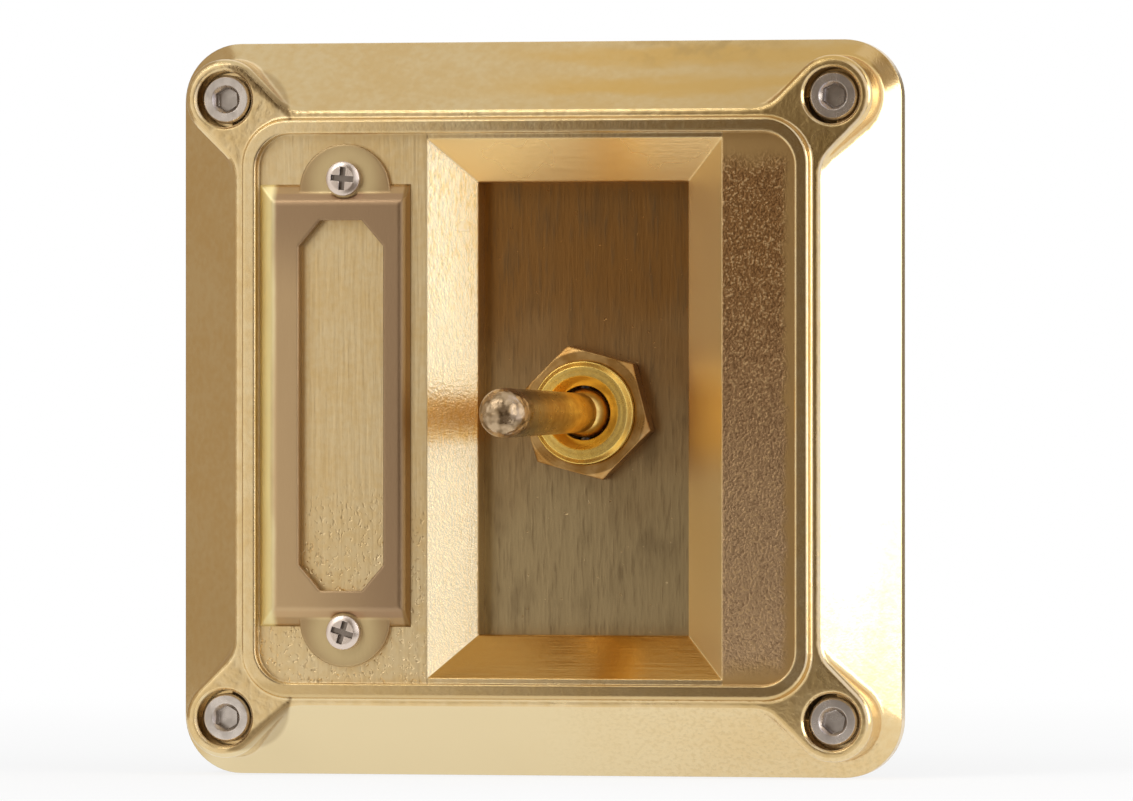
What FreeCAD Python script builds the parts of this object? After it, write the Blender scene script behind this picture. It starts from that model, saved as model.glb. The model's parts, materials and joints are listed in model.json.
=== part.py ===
"""Brass dolly switch: a cast cover with a label frame and a two-way lever switch.

Every piece is drawn in the plate's own directions, x to the right, y up and z out of the
wall, and then stood upright, so that the front faces -Y and the top points to +Z. The origin
is the middle of the cover's back face. Sizes are millimetres and degrees.
"""
import FreeCAD
import Part
import Sketcher
import math
import os
import re

Vector = FreeCAD.Vector

SIZES = {
    # cast cover
    "plate_size": 86.0,
    "plate_corner_radius": 6.8,
    "flange_height": 2.0,
    "slope_run": 9.6,
    "rim_inset": 9.3,
    "rim_height": 11.6,
    "rim_corner_radius": 5.3,
    "rim_width": 1.6,
    "rim_draft": 0.2,
    "rim_foot_round": 0.35,
    "rim_outer_round": 0.35,
    "rim_inner_round": 0.25,
    "panel_depth": 1.5,
    "panel_corner_radius": 4.0,
    "casting_wall": 2.5,
    # corner bosses and their screws
    "screw_inset": 6.75,
    "boss_radius": 4.7,
    "boss_drop": 1.3,
    "boss_round": 0.9,
    "web_root_radius": 5.4,
    "foot_radius": 1.2,
    "foot_overlap": 0.2,
    "counterbore_chamfer": 0.3,
    "counterbore_diameter": 6.6,
    "head_sink": 1.0,
    "head_diameter": 5.7,
    "head_height": 3.0,
    "head_chamfer": 0.25,
    "socket_flats": 2.5,
    "socket_depth": 1.6,
    "socket_chamfer": 0.25,
    "screw_diameter": 3.0,
    "screw_length": 16.0,
    "shank_length": 6.25,
    "thread_diameter": 2.66,
    "thread_end": 0.4,
    "screw_hole": 3.4,
    "cap_turn_1": 3.0,
    "cap_turn_2": -5.0,
    "cap_turn_3": 0.0,
    "cap_turn_4": -12.0,
    # recess and the plate that closes it
    "left_strip": 20.275,
    "right_strip": 8.775,
    "recess_margin": 0.6,
    "recess_bevel": 5.05,
    "recess_round": 0.5,
    "plate_thickness": 2.0,
    "plate_margin": 5.0,
    "plate_corner": 2.0,
    "surround_lip": 0.5,
    "plate_screw_inset": 2.0,
    "plate_screw_diameter": 2.5,
    "plate_screw_head": 4.7,
    "plate_screw_length": 5.0,
    "thread_clearance": 0.02,
    "tapping_depth": 0.4,
    # label frame
    "label_from_rim": 10.05,
    "label_y": 0.35,
    "label_width": 15.7,
    "label_end_space": 8.35,
    "label_left_bevel": 2.0,
    "label_right_bevel": 0.45,
    "label_end_bevel": 2.1,
    "label_rise": 1.6,
    "label_sheet": 0.7,
    "label_inset": 0.85,
    "label_bend": 1.0,
    "window_shift": 0.25,
    "window_width": 10.2,
    "window_border": 2.1,
    "window_lip": 0.7,
    "window_chamfer_x": 2.6,
    "window_chamfer_y": 3.05,
    "ear_shift": 0.5,
    "ear_radius": 5.4,
    "ear_inset": 0.7,
    "label_screw_out": 2.75,
    "label_screw_head": 4.0,
    "label_screw_head_height": 1.3,
    "label_screw_dome": 0.3,
    "label_screw_diameter": 2.0,
    "label_screw_length": 3.2,
    "label_screw_gap": 0.3,
    "cross_span": 2.7,
    "cross_arm": 0.7,
    "cross_depth": 0.7,
    "label_screw_turn_1": -5.0,
    "label_screw_turn_2": -17.0,
    # bush, nut and washer of the lever switch
    "switch_shift_x": 0.1,
    "switch_shift_y": -0.5,
    "bush_diameter": 12.0,
    "bush_rise": 4.5,
    "bush_chamfer": 0.6,
    "bush_flange_diameter": 14.6,
    "bush_flange_height": 1.2,
    "bush_bore": 6.4,
    "bush_mouth": 8.6,
    "bush_throat": 2.0,
    "bush_tail_bore": 8.4,
    "panel_fit": 0.15,
    "nut_fit": 0.05,
    "nut_flats": 14.0,
    "nut_height": 3.0,
    "nut_chamfer": 0.5,
    "nut_chamfer_angle": 30.0,
    "nut_turn": -15.0,
    "washer_diameter": 16.0,
    "washer_thickness": 0.6,
    "washer_teeth": 12,
    "washer_tooth_depth": 1.0,
    "washer_tooth_width": 1.2,
    # dolly and what it carries
    "pivot_rise": 2.0,
    "throw_angle": 14.0,
    "ball_diameter": 6.0,
    "neck_diameter": 4.6,
    "tip_diameter": 5.8,
    "tip_reach": 21.2,
    "tail_diameter": 3.8,
    "pin_diameter": 1.5,
    "pin_length": 11.0,
    "pin_fit": 0.05,
    "plunger_diameter": 2.4,
    "plunger_fit": 0.1,
    "plunger_showing": 3.0,
    "plunger_top": 9.0,
    "spring_top": 5.0,
    "spring_diameter": 1.7,
    "spring_wire": 0.4,
    "spring_turns": 3.0,
    "spring_gap": 0.05,
    # frame and case
    "yoke_thickness": 1.0,
    "yoke_width": 16.0,
    "yoke_lip": 2.0,
    "yoke_bend": 0.9,
    "case_length": 30.0,
    "case_width": 18.0,
    "case_depth": 16.4,
    "case_wall": 1.5,
    "case_floor": 2.0,
    "case_gap": 0.05,
    # rocker, contacts and terminals
    "rocker_angle": 16.0,
    "rocker_tilt": 10.0,
    "rocker_rise": 2.56,
    "rocker_overhang": 1.2,
    "rocker_thickness": 0.8,
    "rocker_width": 5.0,
    "rocker_bead": 1.2,
    "rocker_fit": 0.06,
    "plunger_gap": 0.18,
    "contact_inset": 4.0,
    "contact_diameter": 2.6,
    "contact_height": 0.6,
    "contact_gap": 0.12,
    "fixed_contact_diameter": 3.0,
    "terminal_thickness": 1.0,
    "terminal_width": 6.0,
    "terminal_inset": 1.5,
    "terminal_pad": 5.6,
    "terminal_drop": 9.0,
    "terminal_screw_drop": 5.0,
    "post_width": 3.2,
    "post_drop": 0.85,
    "terminal_screw_diameter": 3.0,
    "terminal_screw_length": 3.0,
    "terminal_screw_head": 5.0,
    "terminal_screw_head_height": 1.8,
    "slot_width": 0.8,
    "slot_depth": 0.8,
    # earth terminal
    "earth_shift": 0.05,
    "earth_y": -17.0,
    "earth_boss_diameter": 7.0,
    "earth_boss_height": 3.6,
    "earth_washer_diameter": 6.4,
    "earth_washer_thickness": 0.8,
    "earth_screw_length": 4.5,
    "earth_screw_head": 5.4,
    "earth_screw_head_height": 2.0,
}

doc = FreeCAD.newDocument("dolly_switch")
sheet = doc.addObject("Spreadsheet::Sheet", "Dims")
for row, (alias, size) in enumerate(SIZES.items(), start=1):
    sheet.set(f"A{row}", alias)
    sheet.set(f"B{row}", str(size))
    sheet.setAlias(f"B{row}", alias)
doc.recompute()

ALIAS = re.compile(r"\b(" + "|".join(SIZES) + r")\b")

# Heights and half sizes that several pieces share, written from the driving sizes.
SLOPE_HALF = "(plate_size / 2 - slope_run)"
RIM_HALF = "(plate_size / 2 - rim_inset)"
PANEL_HALF = "(plate_size / 2 - rim_inset - rim_width)"
PANEL_Z = "(rim_height - panel_depth)"
PANEL_BACK_Z = "(rim_height - panel_depth - casting_wall)"
BOSS_Z = "(rim_height - boss_drop)"
SEAT_Z = "(rim_height - boss_drop - head_sink - head_height)"
SLOPE = "(slope_run / (rim_height - flange_height))"
SLOPE_ANGLE = f"atan({SLOPE})"
SCREW_REACH = "(plate_size / 2 - screw_inset)"
BEVEL_Z = "(rim_height - panel_depth - recess_bevel)"
RECESS_X = "((left_strip - right_strip) / 2)"
RECESS_HALF_X = f"({PANEL_HALF} - (left_strip + right_strip) / 2 - recess_bevel)"
RECESS_HALF_Y = f"({PANEL_HALF} - recess_margin - recess_bevel)"
SWITCH_X = f"({RECESS_X} + switch_shift_x)"
PIVOT_Z = "(plate_thickness + pivot_rise)"
YOKE_Z = "(-washer_thickness)"
CASE_Z = "(-washer_thickness - yoke_thickness)"
CASE_FLOOR_Z = "(-washer_thickness - yoke_thickness - case_depth + case_floor)"
CASE_BACK_Z = "(-washer_thickness - yoke_thickness - case_depth)"
ROCKER_Z = f"({CASE_FLOOR_Z} + rocker_rise)"
PLUNGER_REACH = f"({PIVOT_Z} - {ROCKER_Z} - (plunger_diameter / 2 + plunger_gap) / cos(rocker_angle))"
TAIL_REACH = f"({PLUNGER_REACH} - plunger_showing)"
TERMINAL_REACH = "(case_length / 2 - case_wall - terminal_inset)"
CONTACT_REACH = f"({TERMINAL_REACH} - contact_inset)"
ROCKER_REACH = f"({CONTACT_REACH} + rocker_overhang)"
CLOSED_ANGLE = "(rocker_angle - rocker_tilt)"
FIXED_CONTACT_Z = (f"({ROCKER_Z} + {CONTACT_REACH} * sin{CLOSED_ANGLE}"
                   f" - (rocker_thickness + contact_height) * cos{CLOSED_ANGLE}"
                   f" - contact_diameter / 2 * sin{CLOSED_ANGLE} - contact_gap)")
TERMINAL_SCREW_Z = f"({CASE_BACK_Z} - terminal_screw_drop)"
LABEL_X = f"(label_from_rim - {PANEL_HALF})"
LABEL_HALF = f"({PANEL_HALF} - label_end_space)"
LABEL_LEFT = f"({LABEL_X} - label_width / 2 - label_left_bevel)"
LABEL_RIGHT = f"({LABEL_X} + label_width / 2 + label_right_bevel)"
LABEL_END = f"({LABEL_HALF} + label_end_bevel)"
EAR_X = f"({LABEL_X} + ear_shift)"
EARTH_X = f"({LABEL_X} + earth_shift)"
QUARTER_TURN = 90.0
HALF_TURN = 180.0
FULL_TURN = 360.0
HEX_SIDES = 6
PLATE_CORNERS = 4
WEB_HALF_ANGLE = 22.5  # half the angle between a web and a side of the plate
EPSILON = 1e-6


def formula(text):
    """Write the sheet's name before every size in a formula."""
    return ALIAS.sub(r"Dims.\1", str(text))


def value(text):
    """Work out a formula with the sheet's present sizes."""
    return float(sheet.evalExpression(formula(text)))


def bind(thing, **settings):
    """Tie properties to formulas; two underscores in a name stand for a dot."""
    for name, text in settings.items():
        thing.setExpression(name.replace("__", "."), formula(text))


def new_body(label):
    """Start one piece made of sketches and features."""
    return doc.addObject("PartDesign::Body", label)


def origin_feature(body, role):
    """Find one of a body's own planes or axes."""
    return next(item for item in body.Origin.OriginFeatures if item.Role == role)


def new_sketch(body, plane="XY_Plane", height="0"):
    """Place a sketch on one of the body's planes, moved along the plane's normal."""
    sketch = body.newObject("Sketcher::SketchObject", body.Name + "_sketch")
    sketch.AttachmentSupport = (origin_feature(body, plane), [""])
    sketch.MapMode = "FlatFace"
    bind(sketch, AttachmentOffset__Base__z=height)
    return sketch


def fix_point(sketch, side, end, x, y):
    """Fix one end of a side at a place given by two formulas."""
    for kind, text in (("DistanceX", x), ("DistanceY", y)):
        index = sketch.addConstraint(Sketcher.Constraint(kind, -1, 1, side, end, value(text)))
        sketch.setExpression(f"Constraints[{index}]", formula(text))


def fix_radius(sketch, side, text):
    """Fix the radius of an arc or a circle."""
    index = sketch.addConstraint(Sketcher.Constraint("Radius", side, abs(value(text))))
    sketch.setExpression(f"Constraints[{index}]", formula(f"abs({text})"))


def arc_between(start, end, radius):
    """Make the shorter arc from start to end, to the left for a positive radius."""
    chord = end - start
    half = chord.Length / 2
    rise = math.sqrt(max(radius * radius - half * half, 0.0))
    left = Vector(-chord.y, chord.x, 0).normalize()
    centre = (start + end) * 0.5 + left * math.copysign(rise, radius)
    first, last = (start, end) if radius > 0 else (end, start)
    angles = [math.atan2(point.y - centre.y, point.x - centre.x) for point in (first, last)]
    return Part.ArcOfCircle(Part.Circle(centre, Vector(0, 0, 1), abs(radius)), *angles)


def outline(sketch, corners):
    """Draw a closed outline; a third entry on a corner makes the next side an arc."""
    points = [Vector(value(corner[0]), value(corner[1]), 0) for corner in corners]
    ends = []
    for index, corner in enumerate(corners):
        start = points[index]
        end = points[(index + 1) % len(points)]
        radius = value(corner[2]) if len(corner) > 2 else 0.0
        side_shape = arc_between(start, end, radius) if radius else Part.LineSegment(start, end)
        side = sketch.addGeometry(side_shape)
        ends.append((side, 2, 1) if radius < 0 else (side, 1, 2))
        if radius:
            fix_radius(sketch, side, corner[2])
    for index, (side, leaving, arriving) in enumerate(ends):
        last_side, _, last_end = ends[index - 1]
        sketch.addConstraint(Sketcher.Constraint("Coincident", last_side, last_end, side, leaving))
        fix_point(sketch, side, leaving, corners[index][0], corners[index][1])


def circle(sketch, x, y, radius):
    """Draw a circle about a point."""
    shape = Part.Circle(Vector(value(x), value(y), 0), Vector(0, 0, 1), value(radius))
    side = sketch.addGeometry(shape)
    fix_radius(sketch, side, radius)
    fix_point(sketch, side, 3, x, y)


def box_corners(x_low, x_high, y_low, y_high):
    """Corners of a plain rectangle."""
    return [(x_low, y_low), (x_high, y_low), (x_high, y_high), (x_low, y_high)]


def round_box(half_x, half_y, radius, x="0", y="0"):
    """Corners of a rectangle with round corners about a middle point."""
    left, right = f"{x} - {half_x}", f"{x} + {half_x}"
    low, high = f"{y} - {half_y}", f"{y} + {half_y}"
    return [(f"{left} + {radius}", low), (f"{right} - {radius}", low, radius),
            (right, f"{low} + {radius}"), (right, f"{high} - {radius}", radius),
            (f"{right} - {radius}", high), (f"{left} + {radius}", high, radius),
            (left, f"{high} - {radius}"), (left, f"{low} + {radius}", radius)]


def extrude(body, sketch, length, kind="Pad", reverse=False, symmetric=False):
    """Pad a sketch, or pocket the body by it, along the sketch's normal."""
    feature = body.newObject("PartDesign::" + kind, f"{body.Name}_{kind.lower()}")
    feature.Profile = sketch
    feature.Reversed = reverse
    if symmetric:
        feature.SideType = "Symmetric"
    bind(feature, Length=length)
    return feature


def cut_up(body, sketch, length):
    """Cut away what stands above a sketch."""
    return extrude(body, sketch, length, kind="Pocket", reverse=True)


def loft(body, lower, upper, kind="AdditiveLoft"):
    """Join two sketches by straight walls, or cut such a shape away."""
    feature = body.newObject("PartDesign::" + kind, f"{body.Name}_{kind.lower()}")
    feature.Profile = lower
    feature.Sections = [upper]
    feature.Ruled = True
    return feature


def spin(body, corners, plane="XZ_Plane"):
    """Turn a half section about the body's own axis."""
    sketch = new_sketch(body, plane)
    outline(sketch, corners)
    feature = body.newObject("PartDesign::Revolution", body.Name + "_turned")
    feature.Profile = sketch
    feature.ReferenceAxis = (sketch, ["V_Axis"])
    feature.Angle = FULL_TURN
    return feature


def around(body, feature, count):
    """Repeat a feature around the body's axis."""
    pattern = body.newObject("PartDesign::PolarPattern", body.Name + "_pattern")
    pattern.Originals = [feature]
    pattern.Axis = (origin_feature(body, "Z_Axis"), [""])
    pattern.Angle = FULL_TURN
    bind(pattern, Occurrences=count)
    body.Tip = pattern
    return pattern


def round_edges(body, feature, wanted, size, kind="Fillet"):
    """Round, or chamfer, the edges of a feature that a test picks out."""
    doc.recompute()
    shape = feature.Shape
    names = [f"Edge{index}" for index, edge in enumerate(shape.Edges, start=1) if wanted(shape, edge)]
    eased = body.newObject("PartDesign::" + kind, f"{body.Name}_{kind.lower()}")
    eased.Base = (feature, names)
    bind(eased, **{"Radius" if kind == "Fillet" else "Size": size})
    return eased


def lies_at(edge, height):
    """Tell whether an edge lies flat at a height."""
    box = edge.BoundBox
    return abs(box.ZMin - height) < EPSILON and abs(box.ZMax - height) < EPSILON


def face_tilts(shape, edge):
    """Upward parts of the normals of the faces that meet at an edge, at its middle."""
    middle = edge.valueAt((edge.FirstParameter + edge.LastParameter) / 2)
    faces = shape.ancestorsOfType(edge, Part.Face)
    return sorted(abs(face.normalAt(*face.Surface.parameter(middle)).z) for face in faces)


def stand_up(piece, x="0", y="0", z="0", turn_axis=Vector(0, 0, 1), turn="0"):
    """Turn a piece about its own origin, move it to its place on the plate and stand it upright."""
    own_turn = FreeCAD.Rotation(turn_axis, value(turn))
    upright = FreeCAD.Rotation(Vector(1, 0, 0), QUARTER_TURN)
    piece.Placement = FreeCAD.Placement(Vector(0, 0, 0), upright.multiply(own_turn))
    bind(piece, Placement__Base__x=x, Placement__Base__y=f"-({z})", Placement__Base__z=y)


def group(label, pieces):
    """Gather like pieces that stay separate solids."""
    compound = doc.addObject("Part::Compound", label)
    compound.Links = pieces
    return compound


def cover():
    """One casting: sloped sides, rim, bosses with webs, panel, bevelled recess and hollow back."""
    body = new_body("cover")
    rim_top = value("rim_height")
    boss_top = value(BOSS_Z)
    plate_half = "plate_size / 2"
    foot = new_sketch(body)
    outline(foot, round_box(plate_half, plate_half, "plate_corner_radius"))
    extrude(body, foot, "flange_height")
    loft(body, *slope_sections(body))

    # The bosses and webs are blended into the slopes while they still stand tall, then they and the
    # slopes end on one level, and the rim stands on it with a steep outer wall.
    lobes = new_sketch(body, height="flange_height")
    outline(lobes, lobe_corners())
    tall = extrude(body, lobes, "rim_height")
    round_edges(body, tall, is_foot, "foot_radius")
    level = new_sketch(body, height=BOSS_Z)
    outline(level, box_corners(f"-{plate_half}", plate_half, f"-{plate_half}", plate_half))
    milled = cut_up(body, level, "rim_height")
    round_edges(body, milled, lambda shape, edge: lies_at(edge, boss_top), "boss_round")
    rim_foot = new_sketch(body, height=BOSS_Z)
    foot_half = f"({RIM_HALF} + rim_draft)"
    outline(rim_foot, round_box(foot_half, foot_half, "(rim_corner_radius + rim_draft)"))
    rim_edge = new_sketch(body, height="rim_height")
    outline(rim_edge, round_box(RIM_HALF, RIM_HALF, "rim_corner_radius"))
    rim = loft(body, rim_foot, rim_edge)
    rounded = round_edges(body, rim, is_rim_foot, "rim_foot_round")
    round_edges(body, rounded, lambda shape, edge: lies_at(edge, rim_top), "rim_outer_round")

    # The hollow back leaves an even wall; columns under the bosses reach the wall again.
    inner_foot = new_sketch(body)
    inner_half = "(plate_size / 2 - casting_wall)"
    outline(inner_foot, round_box(inner_half, inner_half, "(plate_corner_radius - casting_wall)"))
    inner_top = new_sketch(body, height=PANEL_BACK_Z)
    top_half = (f"(plate_size / 2 - ({PANEL_BACK_Z} - flange_height) * {SLOPE}"
                f" - casting_wall / cos({SLOPE_ANGLE}))")
    outline(inner_top, round_box(top_half, top_half, "(plate_corner_radius - casting_wall)"))
    loft(body, inner_foot, inner_top, kind="SubtractiveLoft")
    column = new_sketch(body)
    for x_side in ("", "-"):
        for y_side in ("", "-"):
            circle(column, f"{x_side}{SCREW_REACH}", f"{y_side}{SCREW_REACH}", "boss_radius")
    extrude(body, column, SEAT_Z)

    # The surround of the recess carries the switch plate; the earth boss hangs from the panel.
    surround = new_sketch(body, height="plate_thickness")
    reach_x = f"({RECESS_HALF_X} + plate_margin + surround_lip)"
    reach_y = f"({RECESS_HALF_Y} + plate_margin + surround_lip)"
    outline(surround, round_box(reach_x, reach_y, "plate_corner", x=RECESS_X))
    extrude(body, surround, f"{PANEL_Z} - plate_thickness")
    earth = new_sketch(body, height=f"{PANEL_BACK_Z} - earth_boss_height")
    circle(earth, EARTH_X, "earth_y", "earth_boss_diameter / 2")
    extrude(body, earth, "earth_boss_height + casting_wall / 2")

    # The panel is sunk inside the rim, and the recess goes down from it between bevelled walls.
    panel = new_sketch(body, height=PANEL_Z)
    outline(panel, round_box(PANEL_HALF, PANEL_HALF, "panel_corner_radius"))
    sunk = cut_up(body, panel, "2 * panel_depth")
    round_edges(body, sunk, lambda shape, edge: on_rim_inside(edge, rim_top), "rim_inner_round")
    floor = new_sketch(body, height=BEVEL_Z)
    mouth = new_sketch(body, height=PANEL_Z)
    outline(floor, recess_corners("0"))
    outline(mouth, recess_corners("recess_bevel"))
    loft(body, floor, mouth, kind="SubtractiveLoft")
    aperture = new_sketch(body, height=BEVEL_Z)
    outline(aperture, recess_corners("0"))
    opened = extrude(body, aperture, BEVEL_Z, kind="Pocket")
    round_edges(body, opened, lambda shape, edge: lies_at(edge, value(BEVEL_Z)), "recess_round")

    # Counterbores and holes for every screw that enters the casting.
    counterbore = new_sketch(body, height=SEAT_Z)
    holes = new_sketch(body)
    for x_side in ("", "-"):
        for y_side in ("", "-"):
            place = (f"{x_side}{SCREW_REACH}", f"{y_side}{SCREW_REACH}")
            circle(counterbore, *place, "counterbore_diameter / 2")
            circle(holes, *place, "screw_hole / 2")
    sunk_heads = cut_up(body, counterbore, "rim_height")
    round_edges(body, sunk_heads, is_counterbore_mouth, "counterbore_chamfer", kind="Chamfer")
    cut_up(body, holes, "rim_height")
    plate_holes = new_sketch(body)
    for x, y in plate_screw_places():
        circle(plate_holes, x, y, "plate_screw_diameter / 2 + thread_clearance")
    cut_up(body, plate_holes, "plate_screw_length + tapping_depth")
    label_holes = new_sketch(body, height=f"{PANEL_BACK_Z} - casting_wall / 2")
    for y in label_screw_places():
        circle(label_holes, EAR_X, y, "label_screw_diameter / 2 + thread_clearance")
    cut_up(body, label_holes, "rim_height")
    earth_hole = new_sketch(body)
    circle(earth_hole, EARTH_X, "earth_y", "screw_diameter / 2 + thread_clearance")
    cut_up(body, earth_hole, f"{PANEL_BACK_Z} + tapping_depth")
    stand_up(body)
    return body


def slope_sections(body):
    """Outlines at the foot and the top of the sloped sides."""
    plate_half = "plate_size / 2"
    lower = new_sketch(body, height="flange_height")
    outline(lower, round_box(plate_half, plate_half, "plate_corner_radius"))
    upper = new_sketch(body, height="rim_height")
    outline(upper, round_box(SLOPE_HALF, SLOPE_HALF, "rim_corner_radius"))
    return lower, upper


def lobe_corners():
    """Closed outline of the four bosses and webs, joined along the sides just inside the slopes."""
    inset = f"(foot_radius * tan({SLOPE_ANGLE} / 2) * sin({SLOPE_ANGLE}) - foot_overlap)"
    side = f"(plate_size / 2 - ({BOSS_Z} - flange_height) * {SLOPE} - {inset})"
    across = "(boss_radius / sqrt(2))"
    root = f"(web_root_radius * tan({WEB_HALF_ANGLE}))"
    far, near = f"({SCREW_REACH} + {across})", f"({SCREW_REACH} - {across})"
    root_end = f"({side} - 2 * {across} - {root})"
    root_far = f"({side} + {root} / sqrt(2))"
    root_near = f"({side} - 2 * {across} + {root} / sqrt(2))"
    lobe = [(side, root_end, "-web_root_radius"), (root_far, root_near), (far, near, "boss_radius"),
            (far, far, "boss_radius"), (near, far), (root_near, root_far, "-web_root_radius"),
            (root_end, side)]
    corners = []
    for _ in range(PLATE_CORNERS):
        corners += lobe
        lobe = [(f"-({y})", x, *arc) for x, y, *arc in lobe]
    return corners


def is_foot(shape, edge):
    """Tell whether an upright wall meets a slope along an edge above the flange."""
    tilts = face_tilts(shape, edge)
    is_above = edge.BoundBox.ZMax > value("flange_height") + EPSILON
    return is_above and tilts[0] < EPSILON and EPSILON < tilts[-1] < 1 - EPSILON


def is_rim_foot(shape, edge):
    """Tell whether the rim's outer wall stands on the bosses' level along an edge."""
    return lies_at(edge, value(BOSS_Z)) and face_tilts(shape, edge)[0] < 1 - EPSILON


def is_counterbore_mouth(shape, edge):
    """Tell whether an edge is the mouth of a counterbore."""
    is_round = edge.Curve.TypeId == "Part::GeomCircle"
    radius = value("counterbore_diameter") / 2
    return is_round and lies_at(edge, value(BOSS_Z)) and abs(edge.Curve.Radius - radius) < EPSILON


def on_rim_inside(edge, height):
    """Tell whether an edge is the rim's inner top edge."""
    if not lies_at(edge, height):
        return False
    reach = max(abs(edge.BoundBox.XMin), abs(edge.BoundBox.XMax),
                abs(edge.BoundBox.YMin), abs(edge.BoundBox.YMax))
    return reach < value(PANEL_HALF) + EPSILON


def recess_corners(grow):
    """Corners of the recess at one level."""
    half_x = f"({RECESS_HALF_X} + {grow})"
    half_y = f"({RECESS_HALF_Y} + {grow})"
    return box_corners(f"{RECESS_X} - {half_x}", f"{RECESS_X} + {half_x}", f"-{half_y}", half_y)


def plate_screw_places():
    """Places of the four screws at the corners of the switch plate."""
    reach_x = f"({RECESS_HALF_X} + plate_margin - plate_screw_inset)"
    reach_y = f"({RECESS_HALF_Y} + plate_margin - plate_screw_inset)"
    return [(f"{RECESS_X} {x_side} {reach_x}", f"{y_side}{reach_y}")
            for x_side in ("+", "-") for y_side in ("", "-")]


def label_screw_places():
    """Heights of the two label screws."""
    return [f"label_y {y_side} ({LABEL_HALF} + label_screw_out)" for y_side in ("+", "-")]


def cap_screw(number, x, y, turn):
    """One socket-head cap screw with a plain shank, turned as it was left when tightened."""
    body = new_body(f"cap_screw_{number}")
    radius = "head_diameter / 2"
    shank = "screw_diameter / 2"
    thread = "thread_diameter / 2"
    top = "head_height"
    spin(body, [("0", "-screw_length"), (f"{thread} - thread_end", "-screw_length"),
                (thread, "thread_end - screw_length"), (thread, "-shank_length"), (shank, "-shank_length"),
                (shank, "0"), (radius, "0"), (radius, f"{top} - head_chamfer"),
                (f"{radius} - head_chamfer", top), ("0", top)])
    # The socket's mouth is chamfered by a cone and its six sides are cut below.
    corner = "(socket_flats / sqrt(3))"
    lead = new_sketch(body, height="head_height")
    circle(lead, "0", "0", f"{corner} + socket_chamfer")
    base = new_sketch(body, height="head_height - socket_chamfer - socket_chamfer")
    circle(base, "0", "0", f"{corner} - socket_chamfer")
    loft(body, base, lead, kind="SubtractiveLoft")
    socket = new_sketch(body, height="head_height")
    hexagon(socket, corner)
    extrude(body, socket, "socket_depth", kind="Pocket")
    stand_up(body, x=x, y=y, z=SEAT_Z, turn=turn)
    return body


def hexagon(sketch, reach):
    """Draw a hexagon with two corners on the y axis."""
    angles = [FULL_TURN / HEX_SIDES * step for step in range(HEX_SIDES)]
    outline(sketch, [(f"{reach} * sin({angle})", f"{reach} * cos({angle})") for angle in angles])


def cover_screws():
    """Four cap screws in the bosses."""
    high, low = SCREW_REACH, f"-{SCREW_REACH}"
    places = [(low, high), (high, high), (low, low), (high, low)]
    return group("cover_screws", [cap_screw(number, x, y, f"cap_turn_{number}")
                                  for number, (x, y) in enumerate(places, start=1)])


def switch_plate():
    """Flat plate behind the recess, with the hole for the bush and four countersunk holes."""
    body = new_body("switch_plate")
    half_x = f"({RECESS_HALF_X} + plate_margin)"
    half_y = f"({RECESS_HALF_Y} + plate_margin)"
    blank = new_sketch(body)
    outline(blank, round_box(half_x, half_y, "plate_corner", x=RECESS_X))
    extrude(body, blank, "plate_thickness")
    holes = new_sketch(body)
    circle(holes, SWITCH_X, "switch_shift_y", "bush_diameter / 2 + panel_fit")
    for x, y in plate_screw_places():
        circle(holes, x, y, "plate_screw_diameter / 2 + panel_fit")
    cut_up(body, holes, "plate_thickness")
    for x, y in plate_screw_places():
        mouth = new_sketch(body)
        circle(mouth, x, y, "plate_screw_head / 2 + panel_fit")
        bottom = new_sketch(body, height="(plate_screw_head - plate_screw_diameter) / 2")
        circle(bottom, x, y, "plate_screw_diameter / 2 + panel_fit")
        loft(body, mouth, bottom, kind="SubtractiveLoft")
    stand_up(body)
    return body


def plate_screw(number, x, y):
    """One countersunk screw, driven from behind."""
    body = new_body(f"plate_screw_{number}")
    shank = "plate_screw_diameter / 2"
    spin(body, [("0", "slot_depth"), ("0", "plate_screw_length"), (shank, "plate_screw_length"),
                (shank, "(plate_screw_head - plate_screw_diameter) / 2"),
                ("plate_screw_head / 2", "0"), ("slot_width / 2", "0"),
                ("slot_width / 2", "slot_depth")])
    stand_up(body, x=x, y=y)
    return body


def plate_screws():
    """Four screws that hold the switch plate against the casting."""
    return group("plate_screws", [plate_screw(number, x, y)
                                  for number, (x, y) in enumerate(plate_screw_places(), start=1)])


def label_frame():
    """Pressed sheet: a shallow tray with a window, joggled down to an ear at each end."""
    body = new_body("label_frame")
    top = f"{PANEL_Z} + label_rise"
    for y_side in ("+", "-"):
        ear = new_sketch(body, height=PANEL_Z)
        circle(ear, EAR_X, f"label_y {y_side} ({LABEL_END} - ear_inset)", "ear_radius")
        extrude(body, ear, "label_sheet")
        if y_side == "+":
            tray = loft(body, *tray_sections(body, "0", PANEL_Z, top))
            round_edges(body, tray, lambda shape, edge: lies_at(edge, value(top)), "label_bend")
    loft(body, *tray_sections(body, "label_inset", PANEL_Z, f"{top} - label_sheet"),
         kind="SubtractiveLoft")
    # The edge of the window is turned down to the panel.
    lip = new_sketch(body, height=PANEL_Z)
    outline(lip, window_corners("window_lip"))
    extrude(body, lip, "label_rise - label_sheet / 2")
    window = new_sketch(body, height=PANEL_Z)
    outline(window, window_corners("0"))
    cut_up(body, window, "2 * label_rise")
    notches = new_sketch(body, height=f"{PANEL_Z} + label_sheet")
    holes = new_sketch(body, height=PANEL_Z)
    for y in label_screw_places():
        circle(notches, EAR_X, y, "label_screw_head / 2 + label_screw_gap")
        circle(holes, EAR_X, y, "label_screw_diameter / 2 + panel_fit")
    cut_up(body, notches, "2 * label_rise")
    cut_up(body, holes, "2 * label_rise")
    stand_up(body)
    return body


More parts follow.
